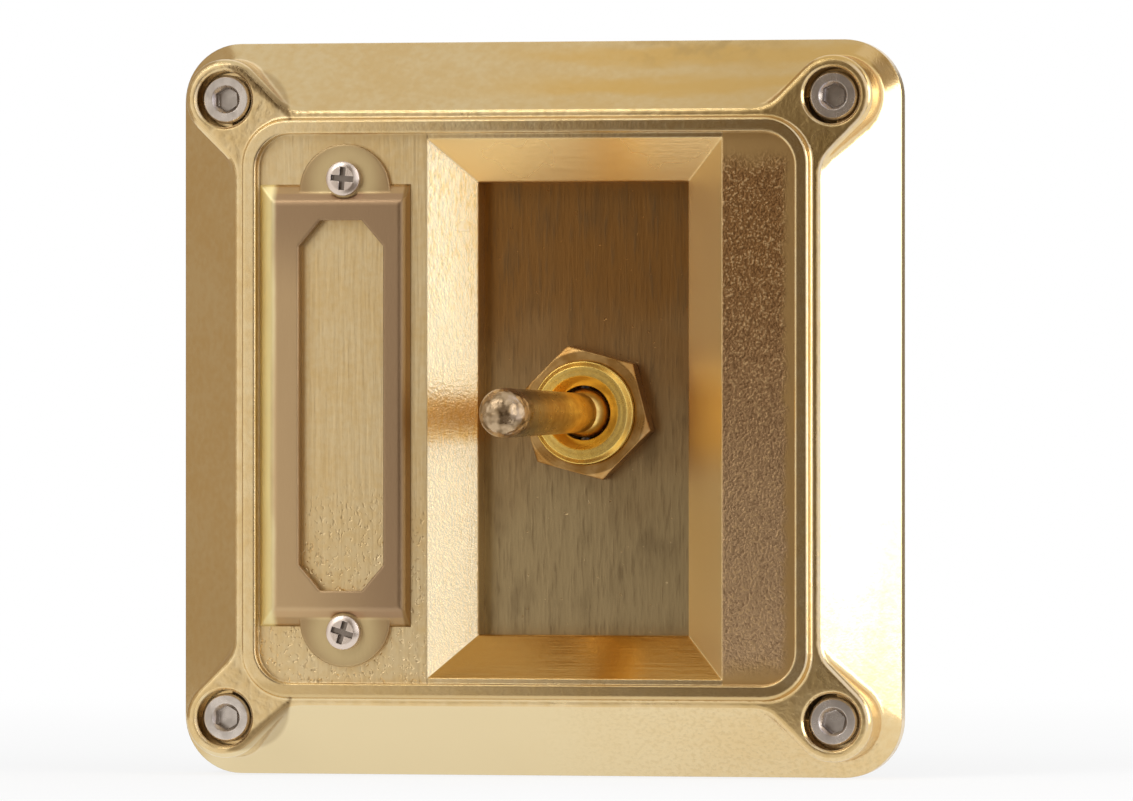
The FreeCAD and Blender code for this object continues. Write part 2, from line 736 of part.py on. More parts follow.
def window_corners(grow):
    """Corners of the eight-sided window, grown all round."""
    left, right = (f"({LABEL_X} + window_shift {side} (window_width / 2 + {grow}))" for side in ("-", "+"))
    low, high = (f"(label_y {side} ({LABEL_HALF} - window_border + {grow}))" for side in ("-", "+"))
    return [(f"{left} + window_chamfer_x", low), (f"{right} - window_chamfer_x", low),
            (right, f"{low} + window_chamfer_y"), (right, f"{high} - window_chamfer_y"),
            (f"{right} - window_chamfer_x", high), (f"{left} + window_chamfer_x", high),
            (left, f"{high} - window_chamfer_y"), (left, f"{low} + window_chamfer_y")]


def tray_sections(body, inset, low, high):
    """Lower and upper outlines of the label tray, drawn in by an inset."""
    lower = new_sketch(body, height=low)
    outline(lower, box_corners(f"{LABEL_LEFT} + {inset}", f"{LABEL_RIGHT} - {inset}",
                               f"label_y - {LABEL_END} + {inset}", f"label_y + {LABEL_END} - {inset}"))
    upper = new_sketch(body, height=high)
    outline(upper, box_corners(f"{LABEL_X} - label_width / 2 + {inset}",
                               f"{LABEL_X} + label_width / 2 - {inset}",
                               f"label_y - {LABEL_HALF} + {inset}", f"label_y + {LABEL_HALF} - {inset}"))
    return lower, upper


def label_screw(number, y):
    """One pan-head screw with a cross recess."""
    body = new_body(f"label_screw_{number}")
    shank = "label_screw_diameter / 2"
    head = "label_screw_head / 2"
    spin(body, [("0", "-label_screw_length"), (shank, "-label_screw_length"), (shank, "0"), (head, "0"),
                (head, "label_screw_head_height - label_screw_dome", "label_screw_head / 2"),
                (f"{head} - 2 * label_screw_dome", "label_screw_head_height"),
                ("0", "label_screw_head_height")])
    cross = new_sketch(body, height="label_screw_head_height")
    tip, arm = "cross_span / 2", "cross_arm / 2"
    outline(cross, [(tip, f"-{arm}"), (tip, arm), (arm, arm), (arm, tip), (f"-{arm}", tip), (f"-{arm}", arm),
                    (f"-{tip}", arm), (f"-{tip}", f"-{arm}"), (f"-{arm}", f"-{arm}"), (f"-{arm}", f"-{tip}"),
                    (arm, f"-{tip}"), (arm, f"-{arm}")])
    extrude(body, cross, "cross_depth", kind="Pocket")
    stand_up(body, x=EAR_X, y=y, z=f"{PANEL_Z} + label_sheet", turn=f"label_screw_turn_{number}")
    return body


def label_screws():
    """Two screws through the ears of the label frame."""
    return group("label_screws", [label_screw(number, y)
                                  for number, y in enumerate(label_screw_places(), start=1)])


def on_switch_axis(piece, height="0", turn_axis=Vector(0, 0, 1), turn="0"):
    """Put a piece of the lever switch on the switch's axis."""
    stand_up(piece, x=SWITCH_X, y="switch_shift_y", z=height, turn_axis=turn_axis, turn=turn)


def bush():
    """Turned bush: flange behind the plate, threaded barrel, countersunk mouth, cross hole."""
    body = new_body("bush")
    top = "(plate_thickness + bush_rise)"
    barrel = "bush_diameter / 2"
    bore = "bush_bore / 2"
    flange_low = f"({CASE_Z} - bush_flange_height)"
    mouth_low = f"{top} - (bush_mouth - bush_bore) / 2"
    spin(body, [("bush_tail_bore / 2", flange_low), ("bush_flange_diameter / 2", flange_low),
                ("bush_flange_diameter / 2", CASE_Z), (barrel, CASE_Z),
                (barrel, f"{top} - bush_chamfer"), (f"{barrel} - bush_chamfer", top),
                ("bush_mouth / 2", top), (bore, mouth_low), (bore, f"{PIVOT_Z} - bush_throat")])
    pin_hole = new_sketch(body, "XZ_Plane")
    circle(pin_hole, "0", PIVOT_Z, "pin_diameter / 2 + thread_clearance / 2")
    extrude(body, pin_hole, "2 * bush_diameter", kind="Pocket", symmetric=True)
    on_switch_axis(body)
    return body


def front_nut():
    """Hexagon nut with its corners turned off at a slope."""
    corner = "(nut_flats / sqrt(3))"
    prism = doc.addObject("Part::Prism", "nut_prism")
    prism.Polygon = HEX_SIDES
    bind(prism, Circumradius=corner, Height="nut_height")
    blank = doc.addObject("Part::Cylinder", "nut_blank")
    bind(blank, Radius=corner, Height="nut_height")
    doc.recompute()
    turned = doc.addObject("Part::Chamfer", "nut_turned")
    turned.Base = blank
    depth = value("nut_chamfer")
    run = depth / math.tan(math.radians(value("nut_chamfer_angle")))
    rims = [(index, depth, run)
            for index, edge in enumerate(blank.Shape.Edges, start=1) if edge.Closed]
    turned.Edges = rims
    shape = doc.addObject("Part::MultiCommon", "nut_shape")
    shape.Shapes = [prism, turned]
    bore = doc.addObject("Part::Cylinder", "nut_bore")
    bind(bore, Radius="bush_diameter / 2 + nut_fit", Height="nut_height")
    nut = doc.addObject("Part::Cut", "front_nut")
    nut.Base = shape
    nut.Tool = bore
    on_switch_axis(nut, height="plate_thickness", turn="nut_turn")
    return nut


def lock_washer():
    """Flat ring with teeth on its inside."""
    body = new_body("lock_washer")
    ring = new_sketch(body, height=YOKE_Z)
    inner = "bush_diameter / 2 + panel_fit"
    circle(ring, "0", "0", "washer_diameter / 2")
    circle(ring, "0", "0", inner)
    extrude(body, ring, "washer_thickness")
    gap = new_sketch(body, height=YOKE_Z)
    half = "washer_tooth_width / 2"
    outline(gap, box_corners("bush_diameter / 4", f"{inner} + washer_tooth_depth", f"-{half}", half))
    notch = cut_up(body, gap, "washer_thickness")
    around(body, notch, "washer_teeth")
    on_switch_axis(body)
    return body


def dolly():
    """Turned lever: rounded tip, tapered neck, ball with a cross hole, bored tail."""
    body = new_body("dolly")
    ball, neck, tail = "ball_diameter / 2", "neck_diameter / 2", "tail_diameter / 2"
    tip = "tip_diameter / 2"
    bore = "(plunger_diameter / 2 + plunger_fit)"
    neck_z = f"sqrt(({ball}) ^ 2 - ({neck}) ^ 2)"
    tail_z = f"-sqrt(({ball}) ^ 2 - ({tail}) ^ 2)"
    end_z = f"-{TAIL_REACH}"
    spin(body, [("0", "-spring_top"), (bore, "-spring_top"), (bore, end_z), (tail, end_z),
                (tail, tail_z, ball), (neck, neck_z), (tip, "tip_reach", tip), ("0", f"tip_reach + {tip}")])
    pin_hole = new_sketch(body, "XZ_Plane")
    circle(pin_hole, "0", "0", "pin_diameter / 2 + pin_fit")
    extrude(body, pin_hole, "2 * ball_diameter", kind="Pocket", symmetric=True)
    ride_on_dolly(body)
    return body


def ride_on_dolly(piece):
    """Tilt a piece with the dolly about its pivot."""
    on_switch_axis(piece, height=PIVOT_Z, turn_axis=Vector(0, 1, 0), turn="-throw_angle")


def pivot_pin():
    """Plain pin across the bush and through the ball."""
    body = new_body("pivot_pin")
    section = new_sketch(body, "XZ_Plane")
    circle(section, "0", PIVOT_Z, "pin_diameter / 2")
    extrude(body, section, "pin_length", symmetric=True)
    on_switch_axis(body)
    return body


def plunger():
    """Plunger with a round nose, sliding in the dolly's tail."""
    body = new_body("plunger")
    radius = "plunger_diameter / 2"
    nose = f"-{PLUNGER_REACH} - {radius}"
    spin(body, [("0", nose, radius), (radius, f"-{PLUNGER_REACH}"), (radius, "-plunger_top"),
                ("0", "-plunger_top")])
    ride_on_dolly(body)
    return body


def plunger_spring():
    """Compression spring between the plunger and the end of its bore."""
    height = "(plunger_top - spring_top - spring_wire - 2 * spring_gap)"
    helix = doc.addObject("Part::Helix", "spring_line")
    bind(helix, Pitch=f"{height} / spring_turns", Height=height, Radius="spring_diameter / 2")
    wire = doc.addObject("Part::Circle", "spring_section")
    wire.Placement = FreeCAD.Placement(Vector(0, 0, 0), FreeCAD.Rotation(Vector(1, 0, 0), QUARTER_TURN))
    bind(wire, Radius="spring_wire / 2", Placement__Base__x="spring_diameter / 2")
    coil = doc.addObject("Part::Sweep", "spring_coil")
    coil.Sections = [wire]
    coil.Spine = helix
    coil.Solid = True
    coil.Frenet = True
    coil.Placement = FreeCAD.Placement()
    bind(coil, Placement__Base__z="-plunger_top + spring_wire / 2 + spring_gap")
    spring = group("plunger_spring", [coil])
    ride_on_dolly(spring)
    return spring


def yoke():
    """Folded strip over the case: flat top with the bush hole, two legs, lips under the case."""
    body = new_body("yoke")
    inner = "(case_width / 2 + case_gap)"
    outer = f"({inner} + yoke_thickness)"
    low = f"({CASE_BACK_Z} - case_gap)"
    bend = "yoke_bend"
    section = new_sketch(body, "YZ_Plane")
    outline(section, [
        (f"-{inner} + yoke_lip", f"{low} - yoke_thickness"), (f"-{inner} + yoke_lip", low),
        (f"-{inner}", low), (f"-{inner}", CASE_Z), (inner, CASE_Z), (inner, low),
        (f"{inner} - yoke_lip", low), (f"{inner} - yoke_lip", f"{low} - yoke_thickness"),
        (f"{outer} - {bend}", f"{low} - yoke_thickness", bend), (outer, f"{low} - yoke_thickness + {bend}"),
        (outer, f"{YOKE_Z} - {bend}", bend), (f"{outer} - {bend}", YOKE_Z),
        (f"-{outer} + {bend}", YOKE_Z, bend), (f"-{outer}", f"{YOKE_Z} - {bend}"),
        (f"-{outer}", f"{low} - yoke_thickness + {bend}", bend),
        (f"-{outer} + {bend}", f"{low} - yoke_thickness")])
    extrude(body, section, "yoke_width", symmetric=True)
    hole = new_sketch(body, height=YOKE_Z)
    circle(hole, "0", "0", "bush_diameter / 2 + panel_fit")
    extrude(body, hole, "2 * yoke_thickness", kind="Pocket")
    on_switch_axis(body)
    return body


def switch_case():
    """Moulded box, open towards the bush, with a slot in its floor for each terminal."""
    body = new_body("switch_case")
    half_x, half_y = "case_length / 2", "case_width / 2"
    block = new_sketch(body, height=CASE_BACK_Z)
    outline(block, box_corners(f"-{half_x}", half_x, f"-{half_y}", half_y))
    extrude(body, block, "case_depth")
    cavity = new_sketch(body, height=CASE_FLOOR_Z)
    inner_x, inner_y = f"({half_x} - case_wall)", f"({half_y} - case_wall)"
    outline(cavity, box_corners(f"-{inner_x}", inner_x, f"-{inner_y}", inner_y))
    cut_up(body, cavity, "case_depth")
    slots = new_sketch(body, height=CASE_BACK_Z)
    across = "(terminal_width / 2 + case_gap)"
    leg = "terminal_thickness"
    for low, high in ((f"-{leg} / 2", f"{leg} / 2"), (f"{TERMINAL_REACH} - {leg}", TERMINAL_REACH),
                      (f"-{TERMINAL_REACH}", f"{leg} - {TERMINAL_REACH}")):
        outline(slots, box_corners(f"{low} - case_gap", f"{high} + case_gap", f"-{across}", across))
    cut_up(body, slots, "case_floor")
    on_switch_axis(body)
    return body


def rocker():
    """V-shaped blade with a round bead below, on which it rocks."""
    body = new_body("rocker")
    along, up = "cos(rocker_angle)", "sin(rocker_angle)"
    start = "sqrt(rocker_bead ^ 2 - rocker_thickness ^ 2)"

    def arm_point(reach, depth, side=""):
        return (f"{side}({reach} * {along} + {depth} * {up})", f"{reach} * {up} - {depth} * {along}")

    thick = "rocker_thickness"
    section = new_sketch(body, "XZ_Plane")
    bead_right = arm_point(start, thick)
    bead_left = arm_point(start, thick, "-")
    outline(section, [("0", "0"), arm_point(ROCKER_REACH, "0", "-"), arm_point(ROCKER_REACH, thick, "-"),
                      (*bead_left, "rocker_bead"), ("0", "-rocker_bead", "rocker_bead"),
                      bead_right, arm_point(ROCKER_REACH, thick), arm_point(ROCKER_REACH, "0")])
    extrude(body, section, "rocker_width", symmetric=True)
    ride_on_rocker(body)
    return body


def ride_on_rocker(piece):
    """Tilt a piece with the rocker, whose right arm is down while the dolly points left."""
    on_switch_axis(piece, height=ROCKER_Z, turn_axis=Vector(0, 1, 0), turn="rocker_tilt")


def rocker_contacts():
    """Two rivets under the rocker's ends."""
    rivets = []
    for number, side in enumerate((1, -1), start=1):
        rivet = doc.addObject("Part::Cylinder", f"rocker_rivet_{number}")
        tilt = FreeCAD.Rotation(Vector(0, 1, 0), -side * value("rocker_angle"))
        rivet.Placement = FreeCAD.Placement(Vector(0, 0, 0), tilt)
        depth = "(rocker_thickness + contact_height)"
        along, up = "cos(rocker_angle)", "sin(rocker_angle)"
        bind(rivet, Radius="contact_diameter / 2", Height="contact_height",
             Placement__Base__x=f"{side} * ({CONTACT_REACH} * {along} + {depth} * {up})",
             Placement__Base__z=f"{CONTACT_REACH} * {up} - {depth} * {along}")
        rivets.append(rivet)
    rivets = group("rocker_contacts", rivets)
    ride_on_rocker(rivets)
    return rivets


def common_terminal():
    """Middle terminal: a post with a trough for the rocker's bead, and a leg through the floor."""
    body = new_body("common_terminal")
    half, leg = "post_width / 2", "terminal_thickness / 2"
    trough = "(rocker_bead + rocker_fit)"
    top = f"({ROCKER_Z} - post_drop)"
    edge = f"sqrt({trough} ^ 2 - post_drop ^ 2)"
    low = f"{CASE_BACK_Z} - terminal_drop"
    section = new_sketch(body, "XZ_Plane")
    outline(section, [(f"-{leg}", low), (leg, low), (leg, CASE_FLOOR_Z), (half, CASE_FLOOR_Z), (half, top),
                      (edge, top, f"-{trough}"), (f"-{edge}", top), (f"-{half}", top),
                      (f"-{half}", CASE_FLOOR_Z), (f"-{leg}", CASE_FLOOR_Z)])
    extrude(body, section, "terminal_width", symmetric=True)
    tap_leg(body)
    on_switch_axis(body)
    return body


def tap_leg(body):
    """Tapped hole for the clamp screw through a terminal's leg."""
    hole = new_sketch(body, "YZ_Plane")
    circle(hole, "0", TERMINAL_SCREW_Z, "terminal_screw_diameter / 2 + thread_clearance")
    extrude(body, hole, "2 * case_length", kind="Pocket", symmetric=True)


def end_terminal(label, side):
    """Bent strip: a pad on the floor of the case and a leg through it."""
    body = new_body(label)
    high = f"({CASE_FLOOR_Z} + terminal_thickness)"
    low = f"{CASE_BACK_Z} - terminal_drop"
    inside = f"({TERMINAL_REACH} - terminal_thickness)"
    inner = f"({TERMINAL_REACH} - terminal_pad)"
    section = new_sketch(body, "XZ_Plane")
    outline(section, [(f"{side}{inner}", CASE_FLOOR_Z), (f"{side}{inside}", CASE_FLOOR_Z),
                      (f"{side}{inside}", low), (f"{side}{TERMINAL_REACH}", low),
                      (f"{side}{TERMINAL_REACH}", high), (f"{side}{inner}", high)])
    extrude(body, section, "terminal_width", symmetric=True)
    tap_leg(body)
    on_switch_axis(body)
    return body


def fixed_contacts():
    """Two rivets on the end terminals' pads."""
    rivets = []
    for number, side in enumerate(("", "-"), start=1):
        rivet = doc.addObject("Part::Cylinder", f"fixed_rivet_{number}")
        pad_top = f"({CASE_FLOOR_Z} + terminal_thickness)"
        bind(rivet, Radius="fixed_contact_diameter / 2", Height=f"{FIXED_CONTACT_Z} - {pad_top}",
             Placement__Base__x=f"{side}{CONTACT_REACH}", Placement__Base__z=pad_top)
        rivets.append(rivet)
    rivets = group("fixed_contacts", rivets)
    on_switch_axis(rivets)
    return rivets


def slotted_screw(label, head, head_height, diameter, length):
    """Cheese-head screw along +z with the slot in its top."""
    body = new_body(label)
    shank = f"{diameter} / 2"
    spin(body, [("0", f"-{length}"), (shank, f"-{length}"), (shank, "0"), (f"{head} / 2", "0"),
                (f"{head} / 2", head_height), ("0", head_height)])
    slot = new_sketch(body, height=head_height)
    outline(slot, box_corners(f"-{head}", head, "-slot_width / 2", "slot_width / 2"))
    extrude(body, slot, "slot_depth", kind="Pocket")
    return body


def terminal_screws():
    """Three clamp screws, one in each terminal's leg, with their heads to the outside."""
    screws = []
    places = [(TERMINAL_REACH, 1), ("terminal_thickness / 2", 1), (f"-{TERMINAL_REACH}", -1)]
    for number, (x, side) in enumerate(places, start=1):
        screw = slotted_screw(f"terminal_screw_{number}", "terminal_screw_head",
                              "terminal_screw_head_height", "terminal_screw_diameter",
                              "terminal_screw_length")
        outward = FreeCAD.Rotation(Vector(0, 1, 0), side * QUARTER_TURN)
        screw.Placement = FreeCAD.Placement(Vector(0, 0, 0), outward)
        bind(screw, Placement__Base__x=x, Placement__Base__z=TERMINAL_SCREW_Z)
        screws.append(screw)
    screws = group("terminal_screws", screws)
    on_switch_axis(screws)
    return screws


def earth_screw():
    """Earth terminal screw, driven from behind into the boss under the panel."""
    screw = slotted_screw("earth_screw", "earth_screw_head", "earth_screw_head_height",
                          "screw_diameter", "earth_screw_length")
    stand_up(screw, x=EARTH_X, y="earth_y",
             z=f"{PANEL_BACK_Z} - earth_boss_height - earth_washer_thickness",
             turn_axis=Vector(1, 0, 0), turn=HALF_TURN)
    return screw


def earth_washer():
    """Washer between the earth screw and its boss."""
    body = new_body("earth_washer")
    ring = new_sketch(body)
    circle(ring, "0", "0", "earth_washer_diameter / 2")
    circle(ring, "0", "0", "screw_diameter / 2 + panel_fit")
    extrude(body, ring, "earth_washer_thickness")
    stand_up(body, x=EARTH_X, y="earth_y", z=f"{PANEL_BACK_Z} - earth_boss_height - earth_washer_thickness")
    return body


pieces = [
    cover(), cover_screws(), switch_plate(), plate_screws(), label_frame(), label_screws(), bush(),
    front_nut(), lock_washer(), dolly(), pivot_pin(), plunger(), plunger_spring(), yoke(), switch_case(),
    rocker(), rocker_contacts(), common_terminal(), end_terminal("left_terminal", "-"),
    end_terminal("right_terminal", ""), fixed_contacts(), terminal_screws(), earth_screw(), earth_washer(),
]
doc.recompute()

for item in doc.Objects:
    if "Invalid" in item.State or "Error" in item.State:
        raise RuntimeError(f"{item.Name} failed: {item.State}")
for piece in pieces:
    if piece.Shape.isNull() or not piece.Shape.isValid():
        raise RuntimeError(f"{piece.Label} has no valid shape")

os.makedirs("parts", exist_ok=True)
for piece in pieces:
    piece.Shape.exportStep(f"parts/{piece.Label}.step")
    solids = piece.Shape.Solids
    print(f"{piece.Label}: {len(solids)} solid, {sum(solid.Volume for solid in solids):.1f} mm3")
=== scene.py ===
"""Brass dolly switch: finishes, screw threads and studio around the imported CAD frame."""
import json
import math

import bmesh
import bpy
from mathutils import Matrix, Vector


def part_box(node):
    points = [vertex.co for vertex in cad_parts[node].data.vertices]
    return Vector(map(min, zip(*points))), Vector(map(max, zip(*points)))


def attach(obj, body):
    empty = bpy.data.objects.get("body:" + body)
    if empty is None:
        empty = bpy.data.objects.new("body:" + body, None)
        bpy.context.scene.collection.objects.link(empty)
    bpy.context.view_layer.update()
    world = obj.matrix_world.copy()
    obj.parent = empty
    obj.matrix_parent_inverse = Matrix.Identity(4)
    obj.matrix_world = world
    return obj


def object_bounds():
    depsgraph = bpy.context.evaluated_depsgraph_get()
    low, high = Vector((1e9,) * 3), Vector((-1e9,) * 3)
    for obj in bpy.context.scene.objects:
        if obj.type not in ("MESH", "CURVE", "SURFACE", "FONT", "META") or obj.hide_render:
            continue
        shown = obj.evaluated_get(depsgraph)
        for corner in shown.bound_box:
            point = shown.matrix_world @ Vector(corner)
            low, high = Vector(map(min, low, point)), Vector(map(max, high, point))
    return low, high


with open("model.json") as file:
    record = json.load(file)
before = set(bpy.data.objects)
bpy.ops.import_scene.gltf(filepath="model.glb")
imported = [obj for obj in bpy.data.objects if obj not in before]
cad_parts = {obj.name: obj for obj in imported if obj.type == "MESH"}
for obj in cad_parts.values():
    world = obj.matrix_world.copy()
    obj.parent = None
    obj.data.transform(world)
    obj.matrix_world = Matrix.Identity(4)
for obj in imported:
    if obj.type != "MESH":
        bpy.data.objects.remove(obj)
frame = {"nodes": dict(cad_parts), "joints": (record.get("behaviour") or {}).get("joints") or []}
cad_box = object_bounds()


# Moulded case of the lever switch, and the plunger that slides in the lever's tail. Black thermoset,
# pressed in a hot mould, so it is matt, with a fine flow grain and paler rubbed patches.
MM = 0.001
BEVEL_SAMPLES = 6


class Wire:
    """A shader socket that takes part in Python sums; vectors go through Vector Math."""

    def __init__(self, socket):
        self.socket = socket

    def node(self, kind, settings, inputs, output=0):
        """Add a node, set it up, fill its sockets and give back one of its outputs."""
        made = self.socket.id_data.nodes.new("ShaderNode" + kind)
        for name, setting in settings.items():
            setattr(made, name, setting)
        fill(made, inputs)
        return Wire(made.outputs[output])

    def combine(self, operation, first, second):
        """Join two values, or two vectors, by one operation."""
        if self.socket.type != "VECTOR":
            return self.node("Math", {"operation": operation}, {0: first, 1: second})
        sides = [(side,) * 3 if isinstance(side, (int, float)) else side for side in (first, second)]
        return self.node("VectorMath", {"operation": operation}, dict(enumerate(sides)))

    def __add__(self, other):
        return self.combine("ADD", self, other)

    def __radd__(self, other):
        return self.combine("ADD", other, self)

    def __sub__(self, other):
        return self.combine("SUBTRACT", self, other)

    def __rsub__(self, other):
        return self.combine("SUBTRACT", other, self)

    def __mul__(self, other):
        return self.combine("MULTIPLY", self, other)

    def __rmul__(self, other):
        return self.combine("MULTIPLY", other, self)

    def __abs__(self):
        return self.node("Math", {"operation": "ABSOLUTE"}, {0: self})

    def parts(self):
        """The three numbers of a vector."""
        made = self.node("SeparateXYZ", {}, {0: self}).socket.node
        return [Wire(output) for output in made.outputs]

    def length(self):
        """The length of a vector."""
        return self.node("VectorMath", {"operation": "LENGTH"}, {0: self}, "Value")

    def rise(self, low, high):
        """A soft step from 0 at low to 1 at high."""
        ends = {"Value": self, "From Min": low, "From Max": high}
        return self.node("MapRange", {"interpolation_type": "SMOOTHSTEP"}, ends)

    def between(self, low, high, soft):
        """1 between two values, with soft ends."""
        return self.rise(low - soft, low + soft) * self.rise(high + soft, high - soft)

    def ragged(self, noise, width):
        """This value, shifted up and down by a noise over a width."""
        return self + width * (noise - 0.5)

    def mix(self, first, second):
        """A colour between two colours, by this factor."""
        return self.node("Mix", {"data_type": "RGBA"}, {0: self, 6: first, 7: second}, 2)

    def noise(self, per_mm, detail=2.0, stretch=(1, 1, 1)):
        """Cloudy values about 0.5, for a place in millimetres."""
        inputs = {"Vector": self * stretch, "Scale": per_mm, "Detail": detail}
        return self.node("TexNoise", {}, inputs)

    def wave(self, length):
        """A sine wave over a value, between -1 and 1."""
        return self.node("Math", {"operation": "SINE"}, {0: self * (2 * math.pi / length)})


def fill(node, inputs):
    """Link or set a node's input sockets."""
    for name, value in inputs.items():
        if isinstance(value, Wire):
            node.id_data.links.new(value.socket, node.inputs[name])
        else:
            node.inputs[name].default_value = value


def new_finish(name):
    """Start a material; gives the material and the place on the piece in millimetres."""
    material = bpy.data.materials.new(name)
    material.use_nodes = True
    shader = Wire(material.node_tree.nodes["Principled BSDF"].outputs[0])
    return material, shader.node("TexCoord", {}, {}, "Object") * (1 / MM)


def relief(height, edge):
    """Normal of a surface with a height in millimetres and edges softened by a radius in millimetres."""
    soft = height.node("Bevel", {"samples": BEVEL_SAMPLES}, {"Radius": edge * MM})
    return height.node("Bump", {}, {"Height": height, "Distance": MM, "Strength": 1.0, "Normal": soft})


def dress(material, names, sockets):
    """Fill the shader of a material and put the material on CAD nodes."""
    fill(material.node_tree.nodes["Principled BSDF"], sockets)
    for name in names:
        for slot in frame["nodes"][name].material_slots:
            slot.material = material


THERMOSET_DARK = (0.012, 0.012, 0.013, 1)
THERMOSET_RUBBED = (0.045, 0.043, 0.040, 1)

thermoset, place = new_finish("black_thermoset")
flow = place.noise(per_mm=0.35, detail=3.0, stretch=(1, 1, 0.4))
grain = place.noise(per_mm=6.0)
dress(thermoset, ["switch_case", "plunger"], {
    "Base Color": flow.rise(0.35, 0.75).mix(THERMOSET_DARK, THERMOSET_RUBBED),
    "Roughness": 0.42 + 0.2 * flow,
    "Normal": relief(0.010 * grain + 0.02 * flow, edge=0.15)})


# Terminals and rocker of the switch, with the earth screw and its washer behind the panel. Stamped and
# bent brass strip and turned brass, left as cut, dulled by handling.
STRIP_BRIGHT = (0.80, 0.60, 0.29, 1)
STRIP_DULL = (0.48, 0.32, 0.13, 1)
STRIP_PIECES = ["rocker", "common_terminal", "left_terminal", "right_terminal", "earth_screw", "earth_washer"]

strip_brass, place = new_finish("strip_brass")
handling = place.noise(per_mm=0.25, detail=4.0)
rolling = place.noise(per_mm=3.0, stretch=(1, 0.06, 1))
dress(strip_brass, STRIP_PIECES, {
    "Metallic": 1.0,
    "Base Color": handling.rise(0.38, 0.68).mix(STRIP_BRIGHT, STRIP_DULL),
    "Roughness": 0.2 + 0.25 * handling,
    "Normal": relief(0.012 * rolling, edge=0.12)})


# Contact rivets on the rocker's ends and on the end terminals. Fine silver, headed over, with the grey
# bloom that silver takes on in air.
SILVER_CLEAN = (0.84, 0.82, 0.78, 1)
SILVER_BLOOM = (0.48, 0.44, 0.38, 1)

contact_silver, place = new_finish("contact_silver")
bloom = place.noise(per_mm=0.8, detail=3.0)
dress(contact_silver, ["rocker_contacts", "fixed_contacts"], {
    "Metallic": 1.0,
    "Base Color": bloom.rise(0.4, 0.7).mix(SILVER_CLEAN, SILVER_BLOOM),
    "Roughness": 0.18 + 0.25 * bloom,
    "Normal": relief(0.01 * place.noise(per_mm=4.0), edge=0.1)})


# Yoke over the case, toothed washer, plunger spring and the hidden screws. Steel, zinc plated after
# forming, which leaves a faint spangle and a slightly blue grey.
ZINC_PALE = (0.66, 0.68, 0.70, 1)
ZINC_GREY = (0.42, 0.43, 0.44, 1)

zinc_steel, place = new_finish("zinc_steel")
spangle = place.noise(per_mm=1.4, detail=3.0)
stain = place.noise(per_mm=0.15, detail=3.0)
dress(zinc_steel, ["lock_washer", "yoke", "plunger_spring", "plate_screws", "terminal_screws"], {
    "Metallic": 1.0,
    "Base Color": (0.5 * spangle + 0.5 * stain).rise(0.35, 0.65).mix(ZINC_PALE, ZINC_GREY),
    "Roughness": 0.24 + 0.2 * spangle,
    "Normal": relief(0.012 * spangle, edge=0.15)})


# Pivot pin of the lever. Hard steel wire, blued and oiled, cut to length and pressed into the bush
# across its bore.
BLUED = (0.045, 0.045, 0.055, 1)
OILED = (0.10, 0.085, 0.07, 1)

blued_steel, place = new_finish("blued_steel")
oil = place.noise(per_mm=0.6)
dress(blued_steel, ["pivot_pin"], {
    "Metallic": 1.0,
    "Base Color": oil.rise(0.4, 0.6).mix(BLUED, OILED),
    "Roughness": 0.25 + 0.2 * oil,
    "Normal": relief(0.006 * place.noise(per_mm=5.0), edge=0.1)})


# Bush of the switch. Turned from brass bar with a screw thread outside and a countersunk mouth, so its end
# face carries concentric tool marks; it comes up through the yoke, the washer and the switch plate.
TURNED_BRIGHT = (0.97, 0.69, 0.20, 1)
TURNED_DEEP = (0.92, 0.61, 0.14, 1)
TOOL_FEED = 0.6
THREAD_PITCH = 0.75
BUSH_RADIUS = 6.0
THREAD_BEGINS = (BUSH_RADIUS - 0.12, BUSH_RADIUS - 0.06)
bush_low, bush_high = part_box("bush")
SWITCH_AXIS = tuple((bush_low + bush_high) / 2 / MM)


def from_switch_axis(place):
    """How far a place is from the axis of the bush, in millimetres."""
    return ((place - SWITCH_AXIS) * (1, 0, 1)).length()


turned_brass, place = new_finish("turned_brass")
radius = from_switch_axis(place)
inward = place.parts()[1]
on_thread = radius.rise(*THREAD_BEGINS)
tool_marks = radius.wave(TOOL_FEED) * (1 - on_thread)
thread_marks = inward.wave(THREAD_PITCH) * on_thread
toning = place.noise(per_mm=0.3, detail=3.0)
dress(turned_brass, ["bush"], {
    "Metallic": 1.0,
    "Base Color": (toning + 0.06 * tool_marks).rise(0.3, 0.75).mix(TURNED_BRIGHT, TURNED_DEEP),
    "Roughness": 0.2 + 0.12 * toning,
    "Normal": relief(0.002 * tool_marks + 0.08 * thread_marks + 0.012 * place.noise(per_mm=1.2), edge=0.2)})


# Dolly, the lever that the hand throws. Turned brass that was plated; the plating shows mottled on the
# rounded tip and has worn to gold on the neck and the ball.
PLATING = (0.55, 0.40, 0.245, 1)
PLATING_DARK = (0.25, 0.165, 0.085, 1)
WORN_GOLD = (0.95, 0.66, 0.20, 1)
WORN_DEEP = (0.74, 0.45, 0.11, 1)
WORN_OLIVE = (0.50, 0.37, 0.17, 1)
OLIVE_START = 13.5
TIP_START = 18.4
TIP_FULL = 20.8
LATHE_FEED = 0.5
throw = next(joint for joint in frame["joints"] if joint["name"] == "dolly_throw")
PIVOT = tuple(Vector(throw["pos_m"]) / MM)
# The lever rests tilted to one side by half of its throw.
REST_ANGLE = math.radians(throw["range_deg"][1] / 2)
LEVER_LINE = (-math.sin(REST_ANGLE), -math.cos(REST_ANGLE), 0.0)

